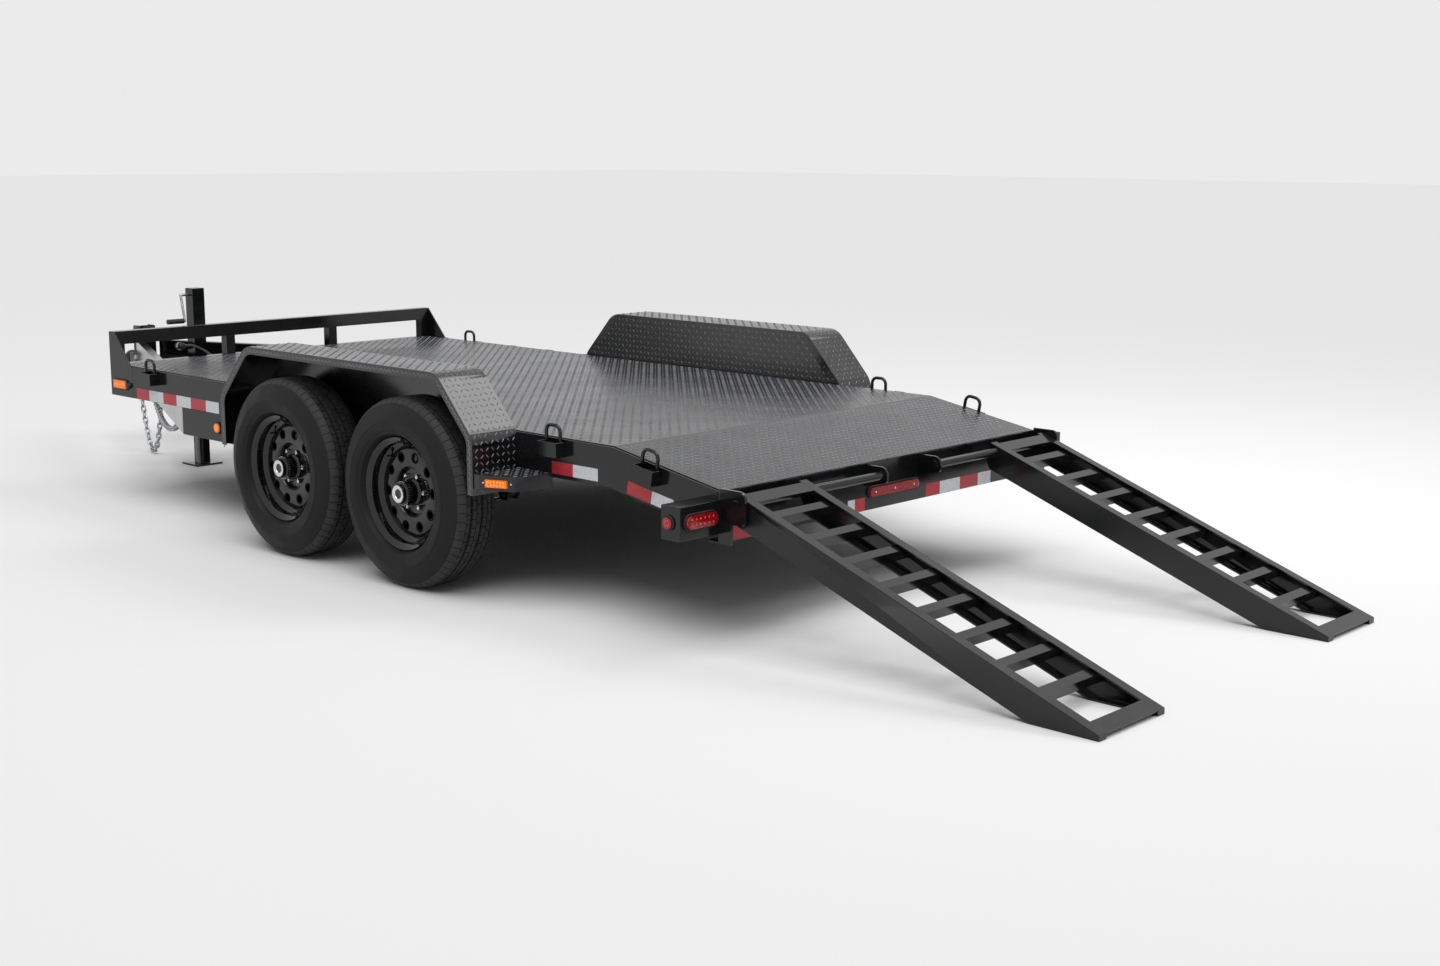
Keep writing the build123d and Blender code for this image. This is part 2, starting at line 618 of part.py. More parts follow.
def leaf(half_length, level):
    """One leaf of a spring about X = 0, curved up towards its ends."""
    inner = SPRING_ARC + level * LEAF_THICK
    outer = inner + LEAF_THICK
    angle = math.asin(half_length / SPRING_ARC)

    def at(radius, turn):
        return (radius * math.sin(turn), SPRING_Y - SPRING_WIDTH / 2,
                SPRING_ARC - radius * math.cos(turn))

    outline = [
        ThreePointArc(at(inner, -angle), at(inner, 0), at(inner, angle)),
        Line(at(inner, angle), at(outer, angle)),
        ThreePointArc(at(outer, angle), at(outer, 0), at(outer, -angle)),
        Line(at(outer, -angle), at(inner, -angle)),
    ]
    return extrude(make_face(outline), amount=SPRING_WIDTH, dir=(0, 1, 0))


def leaf_spring():
    """Left leaf pack about X = 0: a long leaf with two eyes on top of three more."""
    pack = leaf(SPRING_HALF, 0)
    for level in range(1, LEAF_COUNT):
        pack += leaf(SPRING_HALF * (0.95 - 0.2 * level), level)
    y0 = SPRING_Y - SPRING_WIDTH / 2
    y1 = SPRING_Y + SPRING_WIDTH / 2
    for x in (-SPRING_HALF, SPRING_HALF):
        z = SPRING_SAG + EYE_BORE
        pack += rod_y(x, z, EYE_BORE + EYE_WALL, y0, y1)
        pack -= rod_y(x, z, EYE_BORE, y0 - 1, y1 + 1)
    return pack


def spring_clamp():
    """Tie plate under the left spring with two U-bolts over the axle."""
    low = SPRING_TOP - LEAF_COUNT * LEAF_THICK - BOLT_PLAY
    y0 = SPRING_Y - SPRING_WIDTH / 2 - UBOLT_RADIUS - UBOLT_PLAY
    y1 = SPRING_Y + SPRING_WIDTH / 2 + UBOLT_RADIUS + UBOLT_PLAY
    shape = block(-60, 60, y0 - 12, y1 + 12, low - TIE_PLATE, low)
    bend = BEAM_RADIUS + UBOLT_RADIUS + UBOLT_PLAY
    foot = low - TIE_PLATE - 18
    for y in (y0, y1):
        bow = Pos(0, y, TYRE_RADIUS) * Rot(90, 0, 0) * Torus(bend, UBOLT_RADIUS)
        shape += bow - block(-bend - 20, bend + 20, y - 20, y + 20, TYRE_RADIUS - bend - 20, TYRE_RADIUS)
        for x in (-bend, bend):
            shape += Pos(x, y, (foot + TYRE_RADIUS) / 2) * Cylinder(UBOLT_RADIUS, TYRE_RADIUS - foot)
            shape += Pos(x, y, low - TIE_PLATE - 6) * Cylinder(UBOLT_RADIUS + 5, 12)
    return shape


def cross_bolt(x, z, y0, y1):
    """A bolt across the spring's plane with a head at each end."""
    bolt = rod_y(x, z, HANGER_BOLT, y0, y1)
    return bolt + rod_y(x, z, BOLT_HEAD, y0 - BOLT_HEAD_THICK, y0) + rod_y(
        x, z, BOLT_HEAD, y1, y1 + BOLT_HEAD_THICK)


def hanger(x, bolt_z):
    """Left spring hanger about one station: two plates, a top and a bolt."""
    y0 = SPRING_Y - SPRING_WIDTH / 2 - HANGER_PLAY
    y1 = SPRING_Y + SPRING_WIDTH / 2 + HANGER_PLAY
    top = HANGER_TOP_LENGTH / 2
    half = HANGER_LENGTH / 2
    points = [
        (x - top, RAIL_BOTTOM),
        (x + top, RAIL_BOTTOM),
        (x + half, bolt_z),
        (x + half - 14, bolt_z - 22),
        (x - half + 14, bolt_z - 22),
        (x - half, bolt_z),
    ]
    shape = side_prism(points, y0 - HANGER_PLATE, y0)
    shape += side_prism(points, y1, y1 + HANGER_PLATE)
    shape += block(x - top, x + top, y0, y1, RAIL_BOTTOM - HANGER_PLATE, RAIL_BOTTOM)
    return shape + cross_bolt(x, bolt_z, y0 - HANGER_PLATE, y1 + HANGER_PLATE)


def equalizer():
    """Left rocker between the two springs of one side."""
    x = AXLE_MIDDLE
    r = EYE_BORE + EYE_WALL
    pivot = EYE_Z + ROCKER_RISE
    end = EYE_Z + SHACKLE_RISE
    points = [
        (x - ROCKER_HALF, end - r),
        (x + ROCKER_HALF, end - r),
        (x + ROCKER_HALF, end + r),
        (x + r, pivot + r),
        (x - r, pivot + r),
        (x - ROCKER_HALF, end + r),
    ]
    y0 = SPRING_Y - SPRING_WIDTH / 2
    y1 = SPRING_Y + SPRING_WIDTH / 2
    shape = side_prism(points, y0, y1)
    for dx in (-ROCKER_HALF, ROCKER_HALF):
        shape += rod_y(x + dx, end, r, y0, y1)
        shape -= rod_y(x + dx, end, EYE_BORE, y0 - 1, y1 + 1)
    return shape - rod_y(x, pivot, EYE_BORE, y0 - 1, y1 + 1)


def shackle(x):
    """Left pair of links from the equalizer's end down to a spring eye."""
    y0 = SPRING_Y - SPRING_WIDTH / 2 - HANGER_PLAY
    y1 = SPRING_Y + SPRING_WIDTH / 2 + HANGER_PLAY
    end = EYE_Z + SHACKLE_RISE
    shape = cross_bolt(x, EYE_Z, y0 - SHACKLE_PLATE, y1 + SHACKLE_PLATE)
    shape += cross_bolt(x, end, y0 - SHACKLE_PLATE, y1 + SHACKLE_PLATE)
    for near, far in ((y0 - SHACKLE_PLATE, y0), (y1, y1 + SHACKLE_PLATE)):
        shape += block(x - SHACKLE_RADIUS, x + SHACKLE_RADIUS, near, far, EYE_Z, end)
        for z in (EYE_Z, end):
            shape += rod_y(x, z, SHACKLE_RADIUS, near, far)
    return shape


# ---------------------------------------------------------------- wheels
def revolved(points, x, y_plane, side):
    """Turn (radius, y out from the wheel plane) points about the wheel's axis."""
    flat = [(x + r, y_plane + y, TYRE_RADIUS) for r, y in points]
    face = make_face(Polyline(*flat, close=True))
    shape = revolve(face, axis=Axis((x, 0, TYRE_RADIUS), (0, 1, 0)))
    return on_side(shape, side)


def tyre(x, side):
    """Tyre as a closed ring that seats on the rim."""
    bead = RIM_RADIUS - 17
    half = TYRE_WIDTH / 2
    tread = TREAD_WIDTH / 2
    seat = RIM_WIDTH / 2 - 14 - RIM_THICK - 0.5
    sidewall = TYRE_RADIUS - RIM_RADIUS

    def below(share, y):
        """A point down the sidewall by a share of its height."""
        return (TYRE_RADIUS - share * sidewall, y)

    section = [
        below(0, -tread + 20), below(0, tread - 20), below(0.006, tread), below(0.039, half - 42),
        below(0.09, half - 33), below(0.168, half - 25), below(0.265, half - 17),
        below(0.374, half - 9), below(0.49, half - 3), below(0.58, half), below(0.71, half - 1),
        below(0.845, half - 8), (RIM_RADIUS + 6, seat + 16), (RIM_RADIUS - 2, seat), (bead, seat),
        (bead, seat - 20), below(0.8, seat - 24), below(0.516, half - 18), below(0.284, half - 34),
        below(0.129, tread), below(0.103, 0),
    ]
    mirror_half = [(r, -y) for r, y in section[2:-1]][::-1]
    return revolved(section + mirror_half, x, WHEEL_PLANE, side)


def wheel(x, side):
    """Steel disc wheel with its hub, drum and oil cap."""
    half = RIM_WIDTH / 2
    t = RIM_THICK
    bead = RIM_RADIUS - 17.3
    well = bead - 22
    profile = [
        (RIM_RADIUS, -half), (RIM_RADIUS, -half + t), (bead, -half + 14 + t), (bead, -half + 42),
        (well, -half + 56), (well, half - 56), (bead, half - 42), (bead, half - 14 - t),
        (RIM_RADIUS, half - t), (RIM_RADIUS, half), (bead - t, half - 14), (bead - t, half - 44),
        (well - t, half - 58), (well - t, -half + 58), (bead - t, -half + 44), (bead - t, -half + 14),
    ]
    rim = revolved(profile, x, WHEEL_PLANE, "left")
    return on_side(rim + disc(x, well - t + 1) + drum(x) + hub(x), side)


def disc(x, edge):
    """Wheel disc: a recessed face for the nuts and a raised face with vents."""
    face = DISC_FACE
    back = DISC_FACE - DISC_THICK
    shape = revolved([
        (SPINDLE_BORE, MOUNT_FACE), (MOUNT_RADIUS, MOUNT_FACE), (DISC_RISE_RADIUS - 4, face - 3),
        (DISC_RISE_RADIUS, face), (edge - 10, face), (edge - 3, face - 4), (edge, face - 12),
        (edge, back - 14), (edge - 9, back), (DISC_RISE_RADIUS + 2, back),
        (MOUNT_RADIUS + 3, MOUNT_BACK), (SPINDLE_BORE, MOUNT_BACK),
    ], x, WHEEL_PLANE, "left")
    for i in range(VENT_COUNT):
        turn = math.radians(VENT_TURN + 360 * i / VENT_COUNT)
        vx = x + VENT_CIRCLE * math.cos(turn)
        vz = TYRE_RADIUS + VENT_CIRCLE * math.sin(turn)
        shape -= rod_y(vx, vz, VENT_RADIUS, WHEEL_PLANE, WHEEL_PLANE + face + 5)
    return shape


def drum(x):
    """Brake drum behind the left disc, open towards the backing plate."""
    inner = MOUNT_BACK - DRUM_WIDTH
    return revolved([
        (DRUM_RADIUS, inner), (DRUM_RADIUS, MOUNT_BACK - 13), (MOUNT_RADIUS, MOUNT_BACK),
        (SPINDLE_BORE, MOUNT_BACK), (SPINDLE_BORE, inner + 30), (58, inner + 30),
        (62, MOUNT_BACK - 20), (DRUM_RADIUS - 10, MOUNT_BACK - 20), (DRUM_RADIUS - 10, inner),
    ], x, WHEEL_PLANE, "left")


def hub(x):
    """Left hub barrel with a stepped collar and its oil cap."""
    end = HUB_FACE
    cap = CAP_RADIUS
    return revolved([
        (SPINDLE_BORE, MOUNT_FACE), (COLLAR_RADIUS, MOUNT_FACE), (COLLAR_RADIUS, MOUNT_FACE + 14),
        (HUB_RADIUS, MOUNT_FACE + 21), (HUB_RADIUS, end - 18), (cap, end - 14), (cap, end),
        (cap - 9, end), (cap - 9, end - 3), (0, end - 3), (0, end - 9), (cap - 10, end - 9),
        (SPINDLE_BORE, end - 34),
    ], x, WHEEL_PLANE, "left")


# ---------------------------------------------------------------- fenders
def fender_face(inset, low, y):
    """Filled side view of the fender with its edges moved in by inset."""
    bottom = low - inset
    points = [
        (FENDER_MIDDLE - FENDER_HALF, bottom),
        (FENDER_MIDDLE - FENDER_HALF, FENDER_KNEE),
        (FENDER_MIDDLE - FENDER_HALF_TOP, FENDER_TOP),
        (FENDER_MIDDLE + FENDER_HALF_TOP, FENDER_TOP),
        (FENDER_MIDDLE + FENDER_HALF, FENDER_KNEE),
        (FENDER_MIDDLE + FENDER_HALF, bottom),
    ]
    face = make_face(Polyline(*[(x, y, z) for x, z in points], close=True))
    if inset:
        face = offset(face, amount=-inset, kind=Kind.INTERSECTION)
    corners = face.vertices().sort_by(Axis.Z)[2:]
    return fillet(corners, radius=FENDER_ROUND - inset)


def fender():
    """Left fender: bent checker plate with an inner wall and a folded lip."""
    def slab(inset, low, y0, y1):
        return extrude(fender_face(inset, low, y0), amount=y1 - y0, dir=(0, 1, 0))

    outside = FENDER_OUTER
    shape = slab(0, FENDER_BOTTOM, HALF, outside)
    shape -= slab(FENDER_SHEET, FENDER_BOTTOM - 10, HALF + FENDER_SHEET, outside - FENDER_SHEET)
    shape -= slab(FENDER_LIP, FENDER_BOTTOM - 10, outside - 10, outside + 10)
    arch = RAIL_TOP - 60
    shape -= block(FENDER_MIDDLE - FENDER_HALF + FENDER_LIP, FENDER_MIDDLE + FENDER_HALF - FENDER_LIP,
                   HALF - 1, HALF + FENDER_SHEET + 1, 0, arch)
    return shape


def fender_step():
    """Left step behind the fender: a folded plate that tapers to the rail."""
    x1 = FENDER_MIDDLE - FENDER_HALF
    x0 = x1 - STEP_LENGTH
    z0 = STEP_TOP - STEP_HEIGHT
    y1 = FENDER_OUTER - STEP_INSET
    t = FENDER_SHEET
    outline = [
        (x1, HALF),
        (x1, y1),
        (x1 - STEP_STRAIGHT, y1),
        (x0 + STEP_CORNER, y1 - STEP_TAPER),
        (x0, HALF + 26),
        (x0, HALF),
    ]
    face = make_face(Polyline(*[(x, y, z0) for x, y in outline], close=True))
    hollow = Pos(0, 0, -t) * offset(face, amount=-t, kind=Kind.INTERSECTION)
    body = extrude(face, amount=STEP_HEIGHT, dir=(0, 0, 1))
    return body - extrude(hollow, amount=STEP_HEIGHT, dir=(0, 0, 1))


def step_face():
    """Middle of the left step's slanted outer face, +Y pointing out of it."""
    x1 = FENDER_MIDDLE - FENDER_HALF - STEP_STRAIGHT
    x0 = FENDER_MIDDLE - FENDER_HALF - STEP_LENGTH + STEP_CORNER
    y1 = FENDER_OUTER - STEP_INSET
    y0 = y1 - STEP_TAPER
    turn = math.degrees(math.atan2(y1 - y0, x1 - x0))
    return Pos((x0 + x1) / 2, (y0 + y1) / 2, STEP_TOP - STEP_HEIGHT / 2) * Rot(0, 0, turn)


# ---------------------------------------------------------------- ramps
def ramp_point(down, up):
    """Station and height of a point given along and square to the ramp."""
    return (PIVOT_STATION - down * RAMP_COS - up * RAMP_SIN,
            PIVOT_Z - down * RAMP_SIN + up * RAMP_COS)


def ramp_down(up, height):
    """How far down the ramp a line square-offset by up reaches a height."""
    return (PIVOT_Z + up * RAMP_COS - height) / RAMP_SIN


def ramp_prism(points, y0, y1):
    """An outline of (down, up) points about the pivot, drawn from y0 to y1."""
    return side_prism([ramp_point(d, u) for d, u in points], y0, y1)


def stringer(web_y, flange_y):
    """One ramp channel, cut at its foot to lie flat on the ground."""
    top = PIVOT_BELOW_TOP
    low = top - RAMP_DEPTH
    w = RAMP_WALL
    body = side_prism([
        ramp_point(-RAMP_HEEL, top),
        (RAMP_TIP, RAMP_TIP_HEIGHT),
        (RAMP_TIP, 0),
        ramp_point(ramp_down(low, 0), low),
        ramp_point(-RAMP_HEEL + HEEL_CUT, low),
        ramp_point(-RAMP_HEEL, low + HEEL_CUT),
    ], web_y, flange_y)
    toe = ramp_down(top - w, w + RAMP_TIP_HEIGHT / 2)
    hollow = side_prism([
        ramp_point(-RAMP_HEEL - 1, top - w),
        ramp_point(toe, top - w),
        (ramp_point(toe, top - w)[0], w),
        ramp_point(ramp_down(low + w, w), low + w),
        ramp_point(-RAMP_HEEL - 1, low + w),
    ], web_y + math.copysign(w, flange_y - web_y), flange_y + math.copysign(1, flange_y - web_y))
    hole = rod_y(PIVOT_STATION, PIVOT_Z, PIPE_RADIUS + PIPE_PLAY,
                 min(web_y, flange_y) - 1, max(web_y, flange_y) + 1)
    return body - hollow - hole


def ramp_stringers():
    """Both channels of the left ramp, their open sides facing each other."""
    inner = RAMP_OUTER - RAMP_WIDTH
    return [stringer(RAMP_OUTER, RAMP_OUTER - RAMP_FLANGE), stringer(inner, inner + RAMP_FLANGE)]


def ramp_rungs():
    """Angle-iron rungs of the left ramp, with its top plate and foot plate."""
    y0 = RAMP_OUTER - RAMP_WIDTH + RAMP_WALL
    y1 = RAMP_OUTER - RAMP_WALL
    flange0 = RAMP_OUTER - RAMP_WIDTH + RAMP_FLANGE
    flange1 = RAMP_OUTER - RAMP_FLANGE
    t = RUNG_THICK
    up = PIVOT_BELOW_TOP - RUNG_BELOW_TOP
    pieces = []
    for i in range(RUNG_COUNT):
        d = FIRST_RUNG + i * RUNG_PITCH
        angle = [(d + t, up), (d + t, up - RUNG_SIZE), (d, up - RUNG_SIZE), (d, up - t),
                 (d + t - RUNG_SIZE, up - t), (d + t - RUNG_SIZE, up)]
        pieces.append(ramp_prism(angle, y0, y1))
    top = PIVOT_BELOW_TOP
    plate = [(-TOP_PLATE_START, top), (TOP_PLATE_LENGTH - TOP_PLATE_START, top),
             (TOP_PLATE_LENGTH - TOP_PLATE_START, top - RAMP_WALL), (-TOP_PLATE_START, top - RAMP_WALL)]
    pieces.append(ramp_prism(plate, flange0, flange1))
    end = ramp_down(top, RAMP_TIP_HEIGHT)
    foot = [(end - FOOT_PLATE_LENGTH, top), (end, top), (end, top - RAMP_WALL),
            (end - FOOT_PLATE_LENGTH, top - RAMP_WALL)]
    pieces.append(ramp_prism(foot, flange0, flange1))
    return pieces


def pivot_pipe():
    """Pipe that the left ramp turns on."""
    y0 = INNER_EAR - INNER_EAR_THICK
    return rod_y(PIVOT_STATION, PIVOT_Z, PIPE_RADIUS, y0, HALF + 6)


def ear(outline, y0, y1):
    """A plate behind the rear crossmember with the pipe's hole in it."""
    plate = side_prism(outline, y0, y1)
    rear = plate.edges().filter_by(Axis.Y).group_by(Axis.X)[0].sort_by(Axis.Z)
    plate = fillet(rear[-1:], radius=EAR_ROUND)
    rear = plate.edges().filter_by(Axis.Y).group_by(Axis.X)[0].sort_by(Axis.Z)
    plate = fillet(rear[:1], radius=EAR_LOW_ROUND)
    return plate - rod_y(PIVOT_STATION, PIVOT_Z, PIPE_RADIUS, y0 - 1, y1 + 1)


def pivot_ears():
    """Left outer and inner ears that hold the pipe."""
    outer = ear([(0, REAR_FACE_BOTTOM), (0, REAR_EAR_TOP), (-EAR_REACH, REAR_EAR_TOP),
                 (-EAR_REACH, EAR_LOW), (-EAR_STEP, EAR_LOW), (-EAR_STEP, REAR_FACE_BOTTOM)],
                HALF - EAR_THICK, HALF)
    reach = PIPE_RADIUS + 10 - PIVOT_STATION
    half = INNER_EAR_THICK / 2
    inner = ear([(0, PIVOT_Z - 50), (0, PIVOT_Z + 32), (-reach, PIVOT_Z + 32), (-reach, PIVOT_Z - 26)],
                INNER_EAR - half, INNER_EAR + half)
    return [outer, inner]


# ---------------------------------------------------------------- fittings
def ring_frame(x):
    """Outer top edge of the left rail at a station, turned to its slope."""
    tilt = -TAIL_ANGLE if x < TAIL_LENGTH else 0
    return Pos(x, HALF, rail_top_at(x)) * Rot(0, tilt, 0)


def d_ring():
    """Tie-down ring about X = 0, its lower bar inside the pocket."""
    y = RING_GAP + RING_ROD
    corners = [(-RING_HALF, y, -RING_DEEP), (RING_HALF, y, -RING_DEEP),
               (RING_HALF, y, RING_TOP), (-RING_HALF, y, RING_TOP)]
    face = make_face(Polyline(*corners, close=True))
    face = fillet(face.vertices().group_by(Axis.Z)[-1], radius=RING_HIGH_ROUND)
    face = fillet(face.vertices().group_by(Axis.Z)[0], radius=RING_LOW_ROUND)
    path = face.wires()[0]
    return sweep(Plane(origin=path @ 0, z_dir=path % 0) * Circle(RING_ROD), path=path)


def ring_clip():
    """Clip welded to the rail's web round a ring's lower bar."""
    y = RING_GAP + RING_ROD
    reach = RING_ROD + CLIP_METAL
    clip = block(-CLIP_HALF, CLIP_HALF, 0, y + reach, -RING_DEEP - reach, -RING_DEEP + reach)
    return clip - rod_x(y, -RING_DEEP, RING_ROD + RING_PLAY, -CLIP_HALF - 1, CLIP_HALF + 1)


def stake_pocket():
    """Pocket on the rail's web about X = 0, open at top and bottom."""
    t = POCKET_WALL
    top = -POCKET_DROP
    outer = block(-POCKET_LENGTH / 2, POCKET_LENGTH / 2, 0, POCKET_DEPTH, top - POCKET_HEIGHT, top)
    inner = block(-POCKET_LENGTH / 2 + t, POCKET_LENGTH / 2 - t, -1, POCKET_DEPTH - t,
                  top - POCKET_HEIGHT - 1, top + 1)
    return outer - inner


def light_box():
    """Left tail light box, folded sheet, open towards the front."""
    t = BOX_WALL
    outer = block(0, BOX_LENGTH, HALF, HALF + BOX_WIDTH, BOX_BOTTOM, BOX_BOTTOM + BOX_HEIGHT)
    inner = block(t, BOX_LENGTH + 1, HALF + t, HALF + BOX_WIDTH - t,
                  BOX_BOTTOM + t, BOX_BOTTOM + BOX_HEIGHT - t)
    return outer - inner


def lamp(length, height, depth):
    """A round-ended lamp that faces -X, its back at X = 0."""
    if length > height:
        face = Plane.YZ * SlotOverall(length, height)
    else:
        face = Plane.YZ * Circle(height / 2)
    return extrude(face, amount=depth, dir=(-1, 0, 0))


def side_lamp(radius, depth):
    """A round lamp that faces +Y, its back at Y = 0."""
    return rod_y(0, 0, radius, 0, depth)


def grommet(length, height):
    """Rubber ring round a lamp that faces -X."""
    grown = lamp(length + 2 * GROMMET, height + 2 * GROMMET, GROMMET_DEPTH)
    return grown - Pos(1, 0, 0) * lamp(length + 0.6, height + 0.6, GROMMET_DEPTH + 2)


def side_grommet(radius):
    """Rubber ring round a round lamp that faces +Y."""
    return side_lamp(radius + GROMMET, GROMMET_DEPTH) - Pos(0, -1, 0) * side_lamp(
        radius + 0.3, GROMMET_DEPTH + 2)


# ---------------------------------------------------------------- all nodes
def pair(make):
    """A left-hand piece or list of pieces, and its mirror image."""
    made = make()
    left = made if isinstance(made, list) else [made]
    return left + [mirrored(piece) for piece in left]


def save_frame():
    """Frame, deck and front rail."""
    for side in SIDES:
        save(f"side_rail_{side}", on_side(side_rail(), side))
    save("corner_plates", *pair(corner_plate))
    save("front_crossmember", front_crossmember())
    save("crossmembers", *crossmembers())
    save("deck_plate", deck_plate())
    save("beavertail_plate", beavertail_plate())
    save("rear_crossmember", rear_crossmember())
    save("front_rail", front_rail())


def save_tongue():
    """Tongue, coupler and jack."""
    for side in SIDES:
        save(f"tongue_rail_{side}", on_side(tongue_rail(), side))
        save(f"tongue_upper_{side}", on_side(upper_rail(), side))
    save("tongue_crossmember", tongue_cross())
    save("nose_channel", nose_channel())
    save("nose_bolts", *nose_bolts())
    save("coupler", coupler())
    save("coupler_latch", coupler_latch())
    save("jack_tube", jack_tube())
    save("jack_leg", jack_leg())
    save("jack_crank", jack_crank())
    save("crank_grip", crank_grip())


def save_running_gear():
    """Axles, springs, wheels and fenders."""
    springs = []
    clamps = []
    for end, x in AXLES.items():
        save(f"axle_{end}", axle(x))
        springs += [Pos(x, 0, SPRING_TOP) * s for s in pair(leaf_spring)]
        clamps += [Pos(x, 0, 0) * s for s in pair(spring_clamp)]
        for side in SIDES:
            save(f"tyre_{end}_{side}", tyre(x, side))
            save(f"wheel_{end}_{side}", wheel(x, side))
    save("leaf_springs", *springs)
    save("spring_clamps", *clamps)
    hangers = pair(lambda: hanger(AXLES["rear"] - SPRING_HALF, EYE_Z))
    hangers += pair(lambda: hanger(AXLE_MIDDLE, EYE_Z + ROCKER_RISE))
    hangers += pair(lambda: hanger(AXLES["front"] + SPRING_HALF, EYE_Z))
    save("spring_hangers", *hangers)
    save("equalizers", *pair(equalizer))
    shackles = [s for dx in (-ROCKER_HALF, ROCKER_HALF) for s in pair(lambda: shackle(AXLE_MIDDLE + dx))]
    save("spring_shackles", *shackles)
    for side in SIDES:
        save(f"fender_{side}", on_side(fender(), side))
    save("fender_steps", *pair(fender_step))


def save_ramps():
    """Ramps and what they turn on."""
    for side in SIDES:
        save(f"ramp_stringers_{side}", *[on_side(s, side) for s in ramp_stringers()])
        save(f"ramp_rungs_{side}", *[on_side(s, side) for s in ramp_rungs()])
    save("pivot_pipes", *pair(pivot_pipe))
    save("pivot_ears", *pair(pivot_ears))


def save_fittings():
    """Tie-down rings, pockets and lamps."""
    rings, clips, pockets = [], [], []
    for x in RING_STATIONS:
        rings += pair(lambda: ring_frame(x) * d_ring())
        clips += pair(lambda: ring_frame(x) * ring_clip())
        pockets += pair(lambda: ring_frame(x) * stake_pocket())
    save("d_rings", *rings)
    save("ring_clips", *clips)
    save("stake_pockets", *pockets)
    save("light_boxes", *pair(light_box))
    save_lamps()


def save_lamps():
    """Lamps, and the rubber grommets round them."""
    tail = Pos(0, HALF + BOX_WIDTH / 2, BOX_BOTTOM + TAIL_LAMP_RISE)
    box_side = Pos(BOX_LENGTH * 0.58, HALF + BOX_WIDTH, BOX_BOTTOM + TAIL_LAMP_RISE - 3)
    tongue_side = Pos(TONGUE_BEND - TONGUE_LAMP_BACK, HALF, TONGUE_BOTTOM + TONGUE_DEPTH / 2)
    corner = Pos(DECK_FRONT - CORNER_LAMP_BACK, HALF + LAMP_DEPTH / 2, RAIL_BOTTOM + 60)
    red = pair(lambda: tail * lamp(TAIL_LAMP, TAIL_LAMP_HEIGHT, 14))
    red += pair(lambda: box_side * side_lamp(SIDE_LAMP, 11))
    red.append(Pos(0, 0, ID_BAR_Z) * lamp(ID_BAR, ID_BAR_HEIGHT, 14))
    save("red_lamps", *red)
    amber = pair(lambda: corner * Box(CORNER_LAMP, LAMP_DEPTH, CORNER_LAMP_HEIGHT))
    amber += pair(lambda: tongue_side * side_lamp(SIDE_LAMP, 11))
    step_lamp = Pos(0, LAMP_DEPTH / 2, 0) * Box(STEP_LAMP, LAMP_DEPTH, STEP_LAMP_HEIGHT)
    amber += pair(lambda: step_face() * step_lamp)
    save("amber_lamps", *amber)
    rubber = pair(lambda: tail * grommet(TAIL_LAMP, TAIL_LAMP_HEIGHT))
    rubber += pair(lambda: box_side * side_grommet(SIDE_LAMP))
    rubber += pair(lambda: tongue_side * side_grommet(SIDE_LAMP))
    rubber.append(Pos(0, 0, ID_BAR_Z) * grommet(ID_BAR, ID_BAR_HEIGHT))
    save("lamp_grommets", *rubber)


os.makedirs("parts", exist_ok=True)
save_frame()
save_tongue()
save_running_gear()
save_ramps()
save_fittings()
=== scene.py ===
import json
import math

import bmesh
import bpy
from mathutils import Matrix, Vector

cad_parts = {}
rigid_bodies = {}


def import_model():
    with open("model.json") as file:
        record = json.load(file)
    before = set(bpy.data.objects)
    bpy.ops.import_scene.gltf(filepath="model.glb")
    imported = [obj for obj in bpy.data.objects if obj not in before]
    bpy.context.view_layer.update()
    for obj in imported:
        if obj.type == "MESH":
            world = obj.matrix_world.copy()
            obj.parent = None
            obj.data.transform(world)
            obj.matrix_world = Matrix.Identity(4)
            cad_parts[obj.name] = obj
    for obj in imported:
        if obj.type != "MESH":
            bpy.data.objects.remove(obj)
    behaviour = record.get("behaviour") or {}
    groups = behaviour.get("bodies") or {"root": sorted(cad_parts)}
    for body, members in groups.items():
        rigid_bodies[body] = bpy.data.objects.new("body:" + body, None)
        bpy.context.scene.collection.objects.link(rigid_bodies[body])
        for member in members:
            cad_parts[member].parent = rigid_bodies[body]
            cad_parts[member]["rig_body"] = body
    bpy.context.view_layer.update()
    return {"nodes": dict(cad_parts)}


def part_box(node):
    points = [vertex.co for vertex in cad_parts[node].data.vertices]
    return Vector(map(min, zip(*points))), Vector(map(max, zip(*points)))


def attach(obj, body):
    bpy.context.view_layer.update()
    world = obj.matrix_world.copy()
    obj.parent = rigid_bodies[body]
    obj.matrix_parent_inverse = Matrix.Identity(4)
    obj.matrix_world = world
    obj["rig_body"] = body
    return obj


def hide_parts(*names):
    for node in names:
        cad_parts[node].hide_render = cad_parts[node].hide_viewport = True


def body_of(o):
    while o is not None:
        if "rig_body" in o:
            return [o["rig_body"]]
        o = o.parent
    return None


# Tandem-axle equipment trailer. Metres, +X to the coupler, +Y to the left, +Z up.
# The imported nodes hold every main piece. This script gives them rounded edges and
# finishes, and adds the tread, the plate's lugs, tape, lamps, nuts and chains.

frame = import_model()
nodes = frame["nodes"]

MM = 0.001
WELD = 0.00002          # metres within which two corners of a mesh are one
SIDES = {"left": 1, "right": -1}
TAIL_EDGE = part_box("beavertail_plate")[0][0]      # rear edge of the beavertail
DECK_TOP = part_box("deck_plate")[1][2]
TAIL_SLOPE = math.radians(9.86)


def at(station, y, z):
    """A point from millimetres ahead of the tail's edge, out from the middle, and up."""
    return Vector((TAIL_EDGE + station * MM, y * MM, z * MM))


